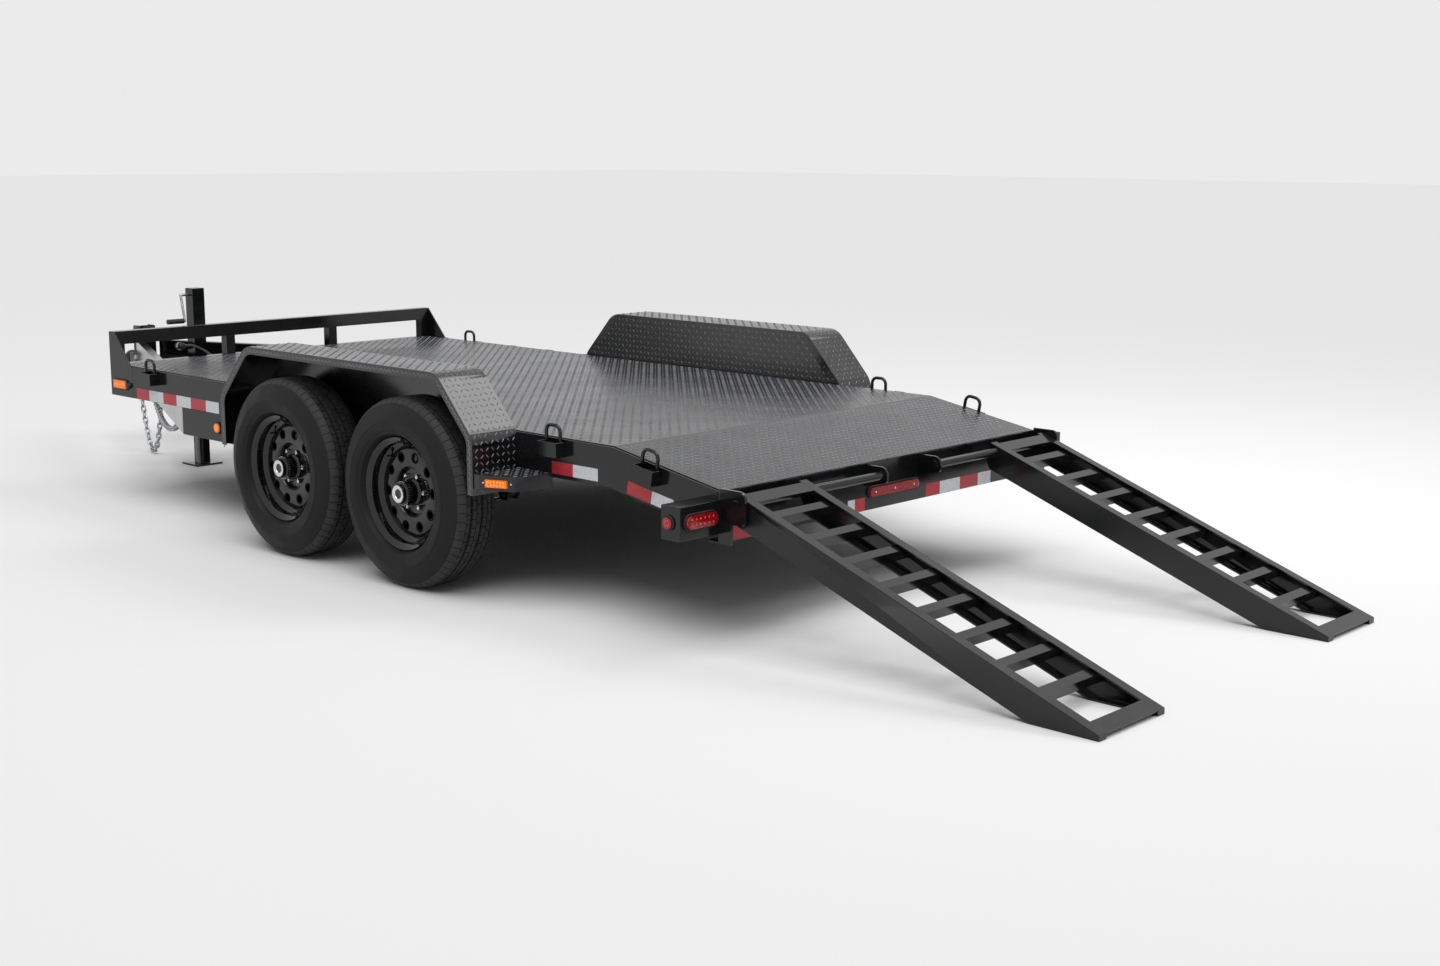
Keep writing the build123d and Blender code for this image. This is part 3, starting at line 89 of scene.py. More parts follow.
# ---------------------------------------------------------------- finishes
def srgb(text):
    """Linear colour of an sRGB hex value."""
    values = [int(text[i:i + 2], 16) / 255 for i in (1, 3, 5)]
    linear = [v / 12.92 if v <= 0.04045 else ((v + 0.055) / 1.055) ** 2.4 for v in values]
    return (*linear, 1.0)


def add(tree, kind, inputs=None, **properties):
    """Add a node, with its properties, and its inputs set or linked."""
    node = tree.nodes.new("ShaderNode" + kind)
    for name, value in properties.items():
        setattr(node, name, value)
    for name, value in (inputs or {}).items():
        if isinstance(value, bpy.types.NodeSocket):
            tree.links.new(value, node.inputs[name])
        else:
            node.inputs[name].default_value = value
    return node


def new_material(name, **constants):
    """A material with its shader's constant values; returns it, its tree and shader."""
    material = bpy.data.materials.new(name)
    material.use_nodes = True
    shader = material.node_tree.nodes["Principled BSDF"]
    for key, value in constants.items():
        shader.inputs[key.replace("_", " ")].default_value = value
    return material, material.node_tree, shader


def finish(name, colours, patch, rough, grain, depth, **constants):
    """A coated or plated surface. Its colour and roughness drift in patches, and a fine
    grain breaks up its reflections. Patch, grain and depth are in millimetres."""
    material, tree, shader = new_material(name, **constants)
    place = add(tree, "TexCoord")
    drift = add(tree, "TexNoise", {"Vector": place.outputs["Object"], "Scale": 1 / (patch * MM),
                                   "Detail": 4.0})
    tint = add(tree, "ValToRGB", {"Fac": drift.outputs["Fac"]})
    for stop, colour, position in zip(tint.color_ramp.elements, colours, (0.35, 0.65)):
        stop.color = srgb(colour)
        stop.position = position
    rougher = add(tree, "MapRange", {"Value": drift.outputs["Fac"], "From Min": 0.3, "From Max": 0.7,
                                     "To Min": rough[0], "To Max": rough[1]})
    fine = add(tree, "TexNoise", {"Vector": place.outputs["Object"], "Scale": 1 / (grain * MM),
                                  "Detail": 2.0})
    bump = add(tree, "Bump", {"Height": fine.outputs["Fac"], "Distance": depth * MM, "Strength": 1.0})
    tree.links.new(tint.outputs["Color"], shader.inputs["Base Color"])
    tree.links.new(rougher.outputs["Result"], shader.inputs["Roughness"])
    tree.links.new(bump.outputs["Normal"], shader.inputs["Normal"])
    return material


def lens(name, colours, glow):
    """Moulded polycarbonate lens: saturated and glossy, with prisms 5 mm apart that
    pass the light unevenly, and a little light left in it."""
    material, tree, shader = new_material(name, Roughness=0.14, IOR=1.58, Emission_Strength=glow)
    place = add(tree, "TexCoord")
    prisms = add(tree, "TexVoronoi", {"Vector": place.outputs["Object"], "Scale": 1 / (5 * MM)})
    tint = add(tree, "ValToRGB", {"Fac": prisms.outputs["Distance"]})
    for stop, colour, position in zip(tint.color_ramp.elements, colours, (0.1, 0.6)):
        stop.color = srgb(colour)
        stop.position = position
    bump = add(tree, "Bump", {"Height": prisms.outputs["Distance"], "Distance": 0.5 * MM})
    tree.links.new(tint.outputs["Color"], shader.inputs["Base Color"])
    tree.links.new(tint.outputs["Color"], shader.inputs["Emission Color"])
    tree.links.new(bump.outputs["Normal"], shader.inputs["Normal"])
    return material


# Gloss black enamel sprayed on rolled steel: a deep grey-black whose orange peel, about
# 4 mm across, softens the reflections, and whose gloss drifts from panel to panel.
gloss_paint = finish("gloss_black_enamel", ("#0e0f10", "#151618"), 260, (0.09, 0.2), 4, 0.03,
                     Specular_IOR_Level=0.42)
# The same enamel over rolled checker plate: thinner and duller, so the flats look grey.
plate_paint = finish("enamel_on_checker_plate", ("#17181b", "#1f2024"), 300, (0.2, 0.3), 6, 0.04)
# A wetter, blacker coat on the fenders: silver where they face the light, black elsewhere.
fender_paint = finish("gloss_enamel_on_fender_plate", ("#0c0d0e", "#121315"), 220, (0.16, 0.26), 6,
                      0.04, Specular_IOR_Level=0.8)
# Crests of the plate's lugs, painted lighter grey than the flats round them as a painted highlight.
lug_highlight_paint = finish("lug_crests_painted_highlight", ("#55565b", "#737479"), 140, (0.16, 0.26), 5, 0.03)
# Powder coat on the steel wheels: a deeper black than the frame, with tight highlights.
wheel_paint = finish("gloss_black_powder_coat", ("#0b0b0c", "#101012"), 60, (0.04, 0.1), 3, 0.01)
# New tyre rubber with carbon black: charcoal and dull, with a waxy bloom in patches.
rubber = finish("moulded_tyre_rubber", ("#0f0f10", "#161617"), 70, (0.5, 0.68), 2, 0.08,
                Specular_IOR_Level=0.25)
# Tread and shoulder blocks: the same rubber painted lighter grey, as painted light where the tread faces
# the light.
tread_rubber = finish("tread_rubber_painted_lighter", ("#262627", "#343435"), 50, (0.5, 0.7), 2, 0.1,
                      Specular_IOR_Level=0.3)
# Rolled edges of the punched vents: painted shade, near black and dull, that widens the vents' dark
# look.
vent_shade_paint = finish("painted_shade_on_vent_edges", ("#020202", "#040404"), 20, (0.5, 0.6), 3, 0.02,
                    Specular_IOR_Level=0.08)
# Weld beads under the enamel: rippled every few millimetres, glossy on their crests.
weld_paint = finish("enamel_on_weld_beads", ("#17181a", "#232427"), 12, (0.2, 0.34), 3, 0.1)
# Zinc-plated steel: pale grey metal, mottled every few millimetres by the plating.
zinc = finish("zinc_plated_steel", ("#8f9194", "#bdbfc2"), 9, (0.3, 0.48), 2, 0.03, Metallic=1.0)
# Chrome plate on the nuts and hub caps: a bright mirror with a faint haze.
chrome = finish("chrome_plate", ("#cfd0d3", "#e4e5e7"), 12, (0.06, 0.14), 5, 0.005, Metallic=1.0)
# Moulded black rubber of grommets and grips: matt, with a fine grain.
soft_rubber = finish("moulded_black_rubber", ("#0f0f10", "#171718"), 25, (0.5, 0.65), 1.5, 0.08)
# Cable sheath: smooth black PVC with a soft sheen.
sheath = finish("black_pvc_sheath", ("#141416", "#1b1b1d"), 30, (0.35, 0.45), 2, 0.03, IOR=1.53)
# Retroreflective tape: a bright film over glass beads, with a faint 5 mm cell pattern.
red_tape = finish("red_reflective_tape", ("#a51d2b", "#bd2837"), 5, (0.3, 0.42), 5, 0.03, IOR=1.5)
white_tape = finish("white_reflective_tape", ("#c3c5ca", "#dcdee2"), 5, (0.3, 0.42), 5, 0.03, IOR=1.5)
# Lenses of coloured polycarbonate, deep red and clear amber, with paler diodes in them.
red_lens = lens("red_polycarbonate_lens", ("#b80f19", "#6f060c"), 0.07)
amber_lens = lens("amber_polycarbonate_lens", ("#ff9416", "#d85f06"), 0.35)
red_diode = lens("red_diode_domes", ("#e63a3a", "#c81c20"), 0.22)
amber_diode = lens("amber_diode_domes", ("#ffb03a", "#ff8c14"), 0.5)


# ---------------------------------------------------------------- making pieces
def finish_piece(bm, name, material, body):
    """Turn a bmesh into a piece that rides on a body."""
    mesh = bpy.data.meshes.new(name)
    bm.to_mesh(mesh)
    bm.free()
    mesh.materials.append(material)
    piece = bpy.data.objects.new(name, mesh)
    bpy.context.scene.collection.objects.link(piece)
    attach(piece, body)
    return piece


def smooth(piece, angle=35):
    """Smooth shading, with edges sharper than angle kept."""
    piece.data.polygons.foreach_set("use_smooth", [True] * len(piece.data.polygons))
    piece.data.set_sharp_from_angle(angle=math.radians(angle))
    return piece


def rounded(node, width, material, segments=2):
    """A copy of a node with its sharp edges rounded, shown in its place."""
    bm = bmesh.new()
    bm.from_mesh(nodes[node].data)
    bmesh.ops.remove_doubles(bm, verts=bm.verts, dist=WELD)
    piece = finish_piece(bm, node + "_finished", material, body_of(nodes[node])[0])
    bevel = piece.modifiers.new("rounding", "BEVEL")
    bevel.width = width * MM
    bevel.segments = segments
    bevel.limit_method = "ANGLE"
    bevel.angle_limit = math.radians(30)
    bevel.harden_normals = True
    smooth(piece, 30)
    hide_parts(node)
    return piece


def shape_of(bm):
    """Keep a bmesh as a small mesh that is stamped many times."""
    mesh = bpy.data.meshes.new("stamp")
    bm.to_mesh(mesh)
    bm.free()
    return mesh


def stamp(bm, shape, place):
    """Add a copy of a small mesh to bm, laid at place."""
    first = len(bm.verts)
    bm.from_mesh(shape)
    bm.verts.ensure_lookup_table()
    bmesh.ops.transform(bm, matrix=place, verts=bm.verts[first:])


def to_right(bm):
    """Mirror a left-hand shape to the right side."""
    bmesh.ops.scale(bm, vec=(1, -1, 1), verts=bm.verts)
    bmesh.ops.reverse_faces(bm, faces=bm.faces)


def turned(axis, degrees):
    """A turn about one axis as a 4 by 4 matrix."""
    return Matrix.Rotation(math.radians(degrees), 4, axis)


def spun(points, steps):
    """A ring: a closed outline of (radius, along) points in mm, turned about the Y axis."""
    bm = bmesh.new()
    chain = [bm.verts.new((r * MM, y * MM, 0)) for r, y in points]
    pairs = list(zip(chain, chain[1:] + chain[:1]))
    for first, second in pairs:
        bm.edges.new((first, second))
    bmesh.ops.spin(bm, geom=bm.verts[:] + bm.edges[:], cent=(0, 0, 0), axis=(0, 1, 0),
                   angle=math.tau, steps=steps, use_merge=True)
    bmesh.ops.remove_doubles(bm, verts=bm.verts, dist=WELD)
    bmesh.ops.recalc_face_normals(bm, faces=bm.faces)
    ring = shape_of(bm)
    bm = bmesh.new()
    bm.from_mesh(ring)
    return bm


# ---------------------------------------------------------------- frame
for name in ("side_rail_left", "side_rail_right"):
    rounded(name, 4.0, gloss_paint, 3)
for name in ("rear_crossmember", "front_rail", "front_crossmember",
             "corner_plates", "tongue_rail_left", "tongue_rail_right", "nose_channel",
             "tongue_upper_left", "tongue_upper_right", "jack_leg", "jack_tube", "tongue_crossmember",
             "ramp_stringers_left", "ramp_stringers_right", "pivot_ears", "stake_pockets",
             "light_boxes"):
    rounded(name, 2.0, gloss_paint)
for name in ("crossmembers", "axle_front", "axle_rear", "leaf_springs", "spring_hangers", "equalizers",
             "ramp_rungs_left", "ramp_rungs_right", "coupler", "coupler_latch", "ring_clips",
             "d_rings", "pivot_pipes"):
    rounded(name, 1.0, gloss_paint)
for name in ("fender_steps", "deck_plate", "beavertail_plate"):
    rounded(name, 1.0, plate_paint)
for name in ("fender_left", "fender_right"):
    rounded(name, 1.0, fender_paint)
for name in ("jack_crank", "nose_bolts", "spring_clamps", "spring_shackles"):
    rounded(name, 1.0, zinc)
for name in ("lamp_grommets", "crank_grip"):
    rounded(name, 2.0, soft_rubber)
rounded("red_lamps", 2.0, red_lens)
rounded("amber_lamps", 2.0, amber_lens)


# ---------------------------------------------------------------- checker plate
LUG_PITCH = 26
LUG_LONG = 20
LUG_WIDE = 6.5
LUG_HIGH = 2.0
LUG_ROWS = 8            # rows of lugs across a fender, its inner wall and a step


def lug_shape(turn):
    """One raised lug: a six-sided mound drawn up to a ridge, lying across the grid."""
    bm = bmesh.new()
    bmesh.ops.create_cone(bm, cap_ends=False, segments=6, radius1=0.5, radius2=0.27, depth=1)
    crest = [v for v in bm.verts if v.co.z > 0]
    bmesh.ops.scale(bm, vec=(1, 0.02, 1), verts=crest)
    bmesh.ops.remove_doubles(bm, verts=bm.verts, dist=0.03)
    bmesh.ops.scale(bm, vec=(LUG_LONG * MM, LUG_WIDE * MM, LUG_HIGH * MM), verts=bm.verts)
    bmesh.ops.translate(bm, vec=(0, 0, LUG_HIGH * MM * 0.45), verts=bm.verts)
    bmesh.ops.rotate(bm, matrix=Matrix.Rotation(math.radians(turn), 3, "Z"), verts=bm.verts)
    return shape_of(bm)


lugs = [lug_shape(45), lug_shape(-45)]


def lug_field(columns, rows, place):
    """Lugs in alternating diagonals on an even grid of columns by rows, laid at place."""
    bm = bmesh.new()
    step = LUG_PITCH * MM
    for i, j in ((0, 0), (0, 1), (1, 0), (1, 1)):
        stamp(bm, lugs[(i + j) % 2], Matrix.Translation((i * step, j * step, 0)))
    for count, along in ((columns, (2 * step, 0, 0)), (rows, (0, 2 * step, 0))):
        bmesh.ops.spin(bm, geom=bm.verts[:] + bm.edges[:] + bm.faces[:], cent=(0, 0, 0),
                       axis=(0, 0, 1), dvec=along, angle=0, steps=count // 2 - 1, use_duplicate=True)
    bmesh.ops.transform(bm, matrix=place, verts=bm.verts)
    return bm


FENDER_MIDDLE = 1905.1
FENDER_HALF = 854
FENDER_HALF_TOP = 646
FENDER_LOW = 420
FENDER_KNEE = 639
FENDER_TOP = 866
FENDER_ROUND = 100
FENDER_INNER = 966
FENDER_OUTER = 1190


def fender_course():
    """Rows of lugs over the fender, from its rear foot: station, height and slope."""
    slant = math.atan2(FENDER_TOP - FENDER_KNEE, FENDER_HALF - FENDER_HALF_TOP)
    turns = [math.pi / 2 - slant, slant, slant, math.pi / 2 - slant]
    cuts = [0, *[FENDER_ROUND * math.tan(turn / 2) for turn in turns], 0]
    leg = FENDER_KNEE - FENDER_LOW
    side = math.hypot(FENDER_TOP - FENDER_KNEE, FENDER_HALF - FENDER_HALF_TOP)
    runs = [leg, side, 2 * FENDER_HALF_TOP, side, leg]
    parts = []
    for i, run in enumerate(runs):
        parts.append((run - cuts[i] - cuts[i + 1], 0))
        if i < len(turns):
            parts.append((FENDER_ROUND * turns[i], turns[i]))
    station, height, slope = FENDER_MIDDLE - FENDER_HALF, FENDER_LOW, math.pi / 2
    gone = 0
    rows = []
    for length, turn in parts:
        steps = round(length)
        for _ in range(steps):
            slope -= turn / steps / 2
            station += math.cos(slope) * length / steps
            height += math.sin(slope) * length / steps
            slope -= turn / steps / 2
            gone += 1
            if gone % LUG_PITCH == LUG_PITCH // 2:
                rows.append((station, height, slope))
    return rows


def fender_lugs():
    """Lugs on the left fender: over its bent plate, along its lip and up its inner wall."""
    bm = bmesh.new()
    for row, (station, height, slope) in enumerate(fender_course()):
        bend = Matrix.Rotation(-slope, 4, "Y")
        for j in range(LUG_ROWS):
            place = Matrix.Translation(at(station, FENDER_INNER + 21 + j * LUG_PITCH, height))
            stamp(bm, lugs[(row + j) % 2], place @ bend)
        lip = Matrix.Translation(at(station, FENDER_OUTER, height)) @ bend
        for half in (0, 1):
            spot = Matrix.Translation(((half - 0.5) * 0.5 * LUG_PITCH * MM, 0, -0.018))
            stamp(bm, lugs[half], lip @ spot @ turned("X", -90))
    for j in range(LUG_ROWS):
        height = DECK_TOP / MM + 16 + j * LUG_PITCH
        share = (height - FENDER_KNEE) / (FENDER_TOP - FENDER_KNEE)
        reach = FENDER_HALF - share * (FENDER_HALF - FENDER_HALF_TOP) - 24
        count = int(reach / LUG_PITCH)
        for i in range(-count, count + 1):
            place = Matrix.Translation(at(FENDER_MIDDLE + i * LUG_PITCH, FENDER_INNER, height))
            stamp(bm, lugs[(i + j) % 2], place @ turned("X", 90))
    return bm


def step_lugs():
    """Lugs on the left fender step, as far as its slanted corner."""
    bm = bmesh.new()
    for i in range(7):
        station = 872 + i * LUG_PITCH
        edge = min(1128 + (station - 886) * 0.443, 1186) - 15
        for j in range(LUG_ROWS):
            y = 984 + j * LUG_PITCH
            if y < edge:
                stamp(bm, lugs[(i + j) % 2], Matrix.Translation(at(station, y, 505)))
    return bm


deck_field = lug_field(134, 72, Matrix.Translation(at(564, -923, DECK_TOP / MM)))
finish_piece(deck_field, "deck_lugs", lug_highlight_paint, "trailer")
tail_place = Matrix.Translation(at(16, -923, 553)) @ Matrix.Rotation(-TAIL_SLOPE, 4, "Y")
tail_field = lug_field(20, 72, tail_place)
finish_piece(tail_field, "beavertail_lugs", lug_highlight_paint, "trailer")
for side, sign in SIDES.items():
    for name, make in (("fender_lugs", fender_lugs), ("step_lugs", step_lugs)):
        pattern = make()
        if sign < 0:
            to_right(pattern)
        finish_piece(pattern, f"{name}_{side}", lug_highlight_paint, "trailer")


# ---------------------------------------------------------------- tyres
TYRE = 376              # radius
PITCHES = 64            # blocks round the tyre
RIBS = (-50, -25, 0, 25, 50)
NUTS = 6
VENTS = 10


def ring_of_blocks(outline, share, stagger=0):
    """Blocks round the tyre: an outline in (radius, along) swept through a share of the
    pitch, its middle staggered sideways, and repeated at every pitch."""
    bm = bmesh.new()
    face = bm.faces.new([bm.verts.new((r * MM, y * MM, 0)) for r, y in outline])
    sweep = math.tau / PITCHES * share
    bmesh.ops.spin(bm, geom=[face], cent=(0, 0, 0), axis=(0, 1, 0), angle=sweep, steps=2)
    bmesh.ops.remove_doubles(bm, verts=bm.verts, dist=0.00001)
    middle = [v for v in bm.verts if abs(math.atan2(-v.co.z, v.co.x) - sweep / 2) < sweep / 8]
    bmesh.ops.translate(bm, verts=middle, vec=(0, stagger * MM, 0))
    bmesh.ops.holes_fill(bm, edges=bm.edges, sides=0)
    bmesh.ops.recalc_face_normals(bm, faces=bm.faces)
    bmesh.ops.spin(bm, geom=bm.verts[:] + bm.edges[:] + bm.faces[:], cent=(0, 0, 0), axis=(0, 1, 0),
                   angle=math.tau * (PITCHES - 1) / PITCHES, steps=PITCHES - 1, use_duplicate=True)
    return bm


def tyre_carcass():
    """Tyre body: groove floor, sunk shoulders, sidewalls with moulded rings, beads and liner."""
    outer = [(367.5, 50), (366.5, 62), (368, 74), (360.5, 83), (352.5, 89.5), (350, 92.3), (348.5, 93.2),
             (335, 100.5), (318, 108.5), (300, 114.5), (291.5, 116.4), (290.5, 118), (286, 118.4),
             (285, 117.4), (266, 116.5), (256, 113.6), (254.5, 114.4), (251, 113.4), (250, 111.6),
             (240, 107), (236, 104.5), (234, 101), (229, 91), (224, 78.5), (219, 68.5), (204, 68.5),
             (204, 48.5), (252, 44.5), (296, 99.5), (332, 83.5), (356, 60)]
    return spun(outer + [(r, -y) for r, y in reversed(outer)], 96)


def tyre_tread():
    """Five zigzag ribs of blocks on the crown, and shoulder blocks down both sides."""
    bm = bmesh.new()
    for rib in RIBS:
        crown = TYRE - abs(rib) * 0.012
        part = ring_of_blocks([(crown, rib - 9), (crown, rib + 9), (366, rib + 9), (366, rib - 9)],
                              0.92, 3.5 if rib % 50 == 0 else -3.5)
        stamp(bm, shape_of(part), turned("Y", 2.8 if rib % 50 else 0))
    shoulder = [(375, 62.5), (370, 75.5), (362, 84.5), (354, 90), (350, 87), (357, 72), (364, 62.5)]
    for sign in (1, -1):
        part = ring_of_blocks([(r, sign * y) for r, y in shoulder], 0.93)
        stamp(bm, shape_of(part), turned("Y", 1.4))
    return bm


carcass = shape_of(tyre_carcass())
tread = shape_of(tyre_tread())


# ---------------------------------------------------------------- wheels
def lug_nuts():
    """Six open chrome nuts on the left wheel's recessed face, about its hub."""
    bm = bmesh.new()
    bmesh.ops.create_cone(bm, cap_ends=True, segments=6, radius1=9.5, radius2=8.8, depth=18)
    bmesh.ops.scale(bm, vec=(MM, MM, MM), verts=bm.verts)
    top = [f for f in bm.faces if f.normal.z > 0.9]
    bmesh.ops.inset_region(bm, faces=top, thickness=0.003, depth=0)
    bmesh.ops.translate(bm, verts=list({v for f in top for v in f.verts}), vec=(0, 0, -0.007))
    nut = shape_of(bm)
    ring = bmesh.new()
    for k in range(NUTS):
        out = Matrix.Translation((0.070, 0.0235, 0))
        stamp(ring, nut, turned("Y", 3 - 360 / NUTS * k) @ out @ turned("X", -90))
    return ring


def valve_stem():
    """Rubber valve stem with its cap, low on the wheel's rear quarter."""
    bm = bmesh.new()
    for radius, length, start in ((5.5, 14, 0), (4, 22, 12), (4.8, 9, 32)):
        made = bmesh.ops.create_cone(bm, cap_ends=True, segments=12, radius1=radius * MM,
                                     radius2=radius * 0.85 * MM, depth=length * MM)
        bmesh.ops.translate(bm, verts=made["verts"], vec=(0, 0, (start + length / 2) * MM))
    spot = turned("Y", 132) @ Matrix.Translation((-0.176, 0.018, 0)) @ turned("X", -90)
    bmesh.ops.transform(bm, matrix=spot, verts=bm.verts)
    return bm


def vent_edges():
    """Rolled edges round the ten vents of the left wheel's disc, painted as dark as the vents as painted
    shade.
    """
    lip = shape_of(spun([(15.7, -7), (15.6, -1), (16.4, 0.3), (21.5, 0.5), (22.6, 0.2), (22, -1)], 24))
    bm = bmesh.new()
    for k in range(VENTS):
        stamp(bm, lip, turned("Y", 4 - 360 / VENTS * k) @ Matrix.Translation((0.142, 0.038, 0)))
    return bm


def cap_ring():
    """Chrome ring round the hub cap's dark centre, with a knurled collar behind it."""
    bm = spun([(34.5, 98), (34.5, 100.4), (32, 101.6), (27, 101.2), (20, 98.4), (19, 97), (19, 95),
               (28.5, 95), (30, 98)], 40)
    tooth = bmesh.new()
    bmesh.ops.create_cube(tooth, size=1)
    bmesh.ops.scale(tooth, vec=(0.004, 0.009, 0.0035), verts=tooth.verts)
    tooth = shape_of(tooth)
    for k in range(30):
        stamp(bm, tooth, turned("Y", 12 * k) @ Matrix.Translation((0.046, 0.074, 0)))
    return bm


WHEEL_PLANE = 1122
AXLES = {"front": 2283.62, "rear": 1470.62}
wheel_parts = [
    ("lug_nuts", shape_of(lug_nuts()), chrome, "zinc_steel"),
    ("valve_stem", shape_of(valve_stem()), soft_rubber, "black_rubber"),
    # The near-black rings round the vents are painted shade.
    ("vent_edges", shape_of(vent_edges()), vent_shade_paint, "wheel_paint"),
    ("cap_ring", shape_of(cap_ring()), chrome, "zinc_steel"),
    ("tyre", carcass, rubber, "tyre_rubber"),
    # The tread's lighter grey is painted light on the same rubber.
    ("tread", tread, tread_rubber, "tyre_rubber"),
]
for end, station in AXLES.items():
    for side, sign in SIDES.items():
        rounded(f"wheel_{end}_{side}", 1.5, wheel_paint)
        body = body_of(nodes[f"wheel_{end}_{side}"])[0]
        for name, shape, material, slot in wheel_parts:
            part = bmesh.new()
            stamp(part, shape, Matrix.Translation(at(station, WHEEL_PLANE, TYRE)))
            if sign < 0:
                to_right(part)
            piece = finish_piece(part, f"{name}_{end}_{side}_made", material, body)
            smooth(piece, 28)
            if name == "tyre":
                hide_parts(f"tyre_{end}_{side}")


# ---------------------------------------------------------------- tape
def strip(bm, start, end, low, high, face, slope=0.0):
    """A strip of tape on a rail's web: stations start to end, heights low to high."""
    part = bmesh.new()
    bmesh.ops.create_cube(part, size=1)
    size = (abs(end - start) * MM, 0.0006, (high - low) * MM)
    bmesh.ops.scale(part, vec=size, verts=part.verts)
    spot = Matrix.Translation(at((start + end) / 2, face, (low + high) / 2))
    stamp(bm, shape_of(part), spot @ Matrix.Rotation(-slope, 4, "Y"))


FRONT_TAPE = (3862, 3745, 3618, 3500, 3375, 3246, 3136)
MIDDLE_TAPE = (859, 743, 609)
TAIL_TAPE = (455, 333, 225)


def tape_runs(parity):
    """Every second strip along both side rails, red ones first."""
    bm = bmesh.new()
    for marks, low, high in ((FRONT_TAPE, 490, 542), (MIDDLE_TAPE, 504, 551)):
        for i in range(parity, len(marks) - 1, 2):
            strip(bm, marks[i + 1], marks[i], low, high, 966.2)
    for i in range(parity, len(TAIL_TAPE) - 1, 2):
        drop = (535 - (TAIL_TAPE[i] + TAIL_TAPE[i + 1]) / 2) * math.tan(TAIL_SLOPE)
        strip(bm, TAIL_TAPE[i + 1], TAIL_TAPE[i], 495 - drop, 542 - drop, 966.2, TAIL_SLOPE)
    bmesh.ops.mirror(bm, geom=bm.verts[:] + bm.edges[:] + bm.faces[:], axis="Y", merge_dist=-1)
    bmesh.ops.recalc_face_normals(bm, faces=bm.faces)
    return bm


REAR_TAPE = {0: ((786, 899), (168, 228), (-304, -212), (-561, -438), (-899, -786)),
             1: ((228, 269), (-438, -304), (-650, -561))}


def rear_tape(parity):
    """Strips across the rear crossmember's web."""
    bm = bmesh.new()
    for low, high in REAR_TAPE[parity]:
        part = bmesh.new()
        bmesh.ops.create_cube(part, size=1)
        bmesh.ops.scale(part, vec=(0.0006, (high - low) * MM, 0.050), verts=part.verts)
        stamp(bm, shape_of(part), Matrix.Translation(at(-0.2, (low + high) / 2, 393)))
    return bm


for parity, material in enumerate((red_tape, white_tape)):
    colour = ("red", "white")[parity]
    finish_piece(tape_runs(parity), f"side_tape_{colour}", material, "trailer")
    finish_piece(rear_tape(parity), f"rear_tape_{colour}", material, "trailer")


# ---------------------------------------------------------------- lamps
def dome_shape(radius):
    """A small dome: a diode's lens or a screw's head."""
    bm = bmesh.new()
    bmesh.ops.create_uvsphere(bm, u_segments=10, v_segments=6, radius=radius * MM)
    bmesh.ops.scale(bm, vec=(1, 1, 0.5), verts=bm.verts)
    return shape_of(bm)


diode = dome_shape(4.2)
screw = dome_shape(3.6)
STEP_FACE = Matrix.Translation(at(951.6, 1157, 476.5)) @ turned("Z", 23.9) @ turned("X", -90)


def clock(hour, radius=0.010):
    """A point on a round lamp's circle of six diodes."""
    turn = hour * math.tau / 6
    return Vector((math.cos(turn), 0, math.sin(turn))) * radius


def left_diodes(material):
    """Diodes of the lamps on the left side, red or amber."""
    bm = bmesh.new()
    if material is red_diode:
        for i in range(6):
            for j in (-1, 1):
                spot = at(-14, 1064 + (i - 2.5) * 21, 463 + j * 10)
                stamp(bm, diode, Matrix.Translation(spot) @ turned("Y", -90))
        for k in range(6):
            spot = at(52.2, 1173, 460) + clock(k)
            stamp(bm, diode, Matrix.Translation(spot) @ turned("X", -90))
    else:
        for i in range(6):
            for j in (-1, 1):
                spot = Matrix.Translation(((i - 2.5) * 0.013, j * 0.006, 0.012))
                stamp(bm, diode, STEP_FACE @ spot)
        for i in range(7):
            spot = at(4005 + (i - 3) * 14, 978, 548)
            stamp(bm, diode, Matrix.Translation(spot) @ turned("X", -90))
        for k in range(6):
            spot = at(3149, 977, 424.5) + clock(k)
            stamp(bm, diode, Matrix.Translation(spot) @ turned("X", -90))
    return bm


def mirrored_pair(bm):
    """Add the right-hand copy of what is on the left."""
    bmesh.ops.mirror(bm, geom=bm.verts[:] + bm.edges[:] + bm.faces[:], axis="Y", merge_dist=-1)
    bmesh.ops.recalc_face_normals(bm, faces=bm.faces)
    return bm


for colour, material in (("red", red_diode), ("amber", amber_diode)):
    diodes = mirrored_pair(left_diodes(material))
    smooth(finish_piece(diodes, f"{colour}_diodes", material, "trailer"), 60)


def lamp_screws():
    """Bright screws at both ends of the step lamps and in the identification bar."""
    bm = bmesh.new()
    for side in (-1, 1):
        stamp(bm, screw, STEP_FACE @ Matrix.Translation((side * 0.057, 0, 0)))
    mirrored_pair(bm)
    for y in (-118, 0, 118):
        stamp(bm, screw, Matrix.Translation(at(-14, y, 434)) @ turned("Y", -90))
    return bm


smooth(finish_piece(lamp_screws(), "lamp_screws", chrome, "trailer"), 60)


# ---------------------------------------------------------------- safety chains
LINK_PITCH = 32.5


def link_shape():
    """One oval chain link, 52 mm long, of 9.6 mm rod."""
    bm = bmesh.new()
    bmesh.ops.create_circle(bm, segments=6, radius=0.0048)
    bmesh.ops.translate(bm, verts=bm.verts, vec=(0.0117, 0, 0))
    bmesh.ops.rotate(bm, matrix=Matrix.Rotation(math.pi / 2, 3, "X"), verts=bm.verts)
    bmesh.ops.rotate(bm, matrix=Matrix.Rotation(math.pi / 12, 3, "Z"), verts=bm.verts)
    bmesh.ops.spin(bm, geom=bm.verts[:] + bm.edges[:], cent=(0, 0, 0), axis=(0, 0, 1),
                   angle=math.tau, steps=12, use_merge=True)
    for sign in (1, -1):
        ends = [v for v in bm.verts if v.co.x * sign > 0]
        bmesh.ops.translate(bm, verts=ends, vec=(sign * 0.0095, 0, 0))
    bmesh.ops.recalc_face_normals(bm, faces=bm.faces)
    return shape_of(bm)


link = link_shape()


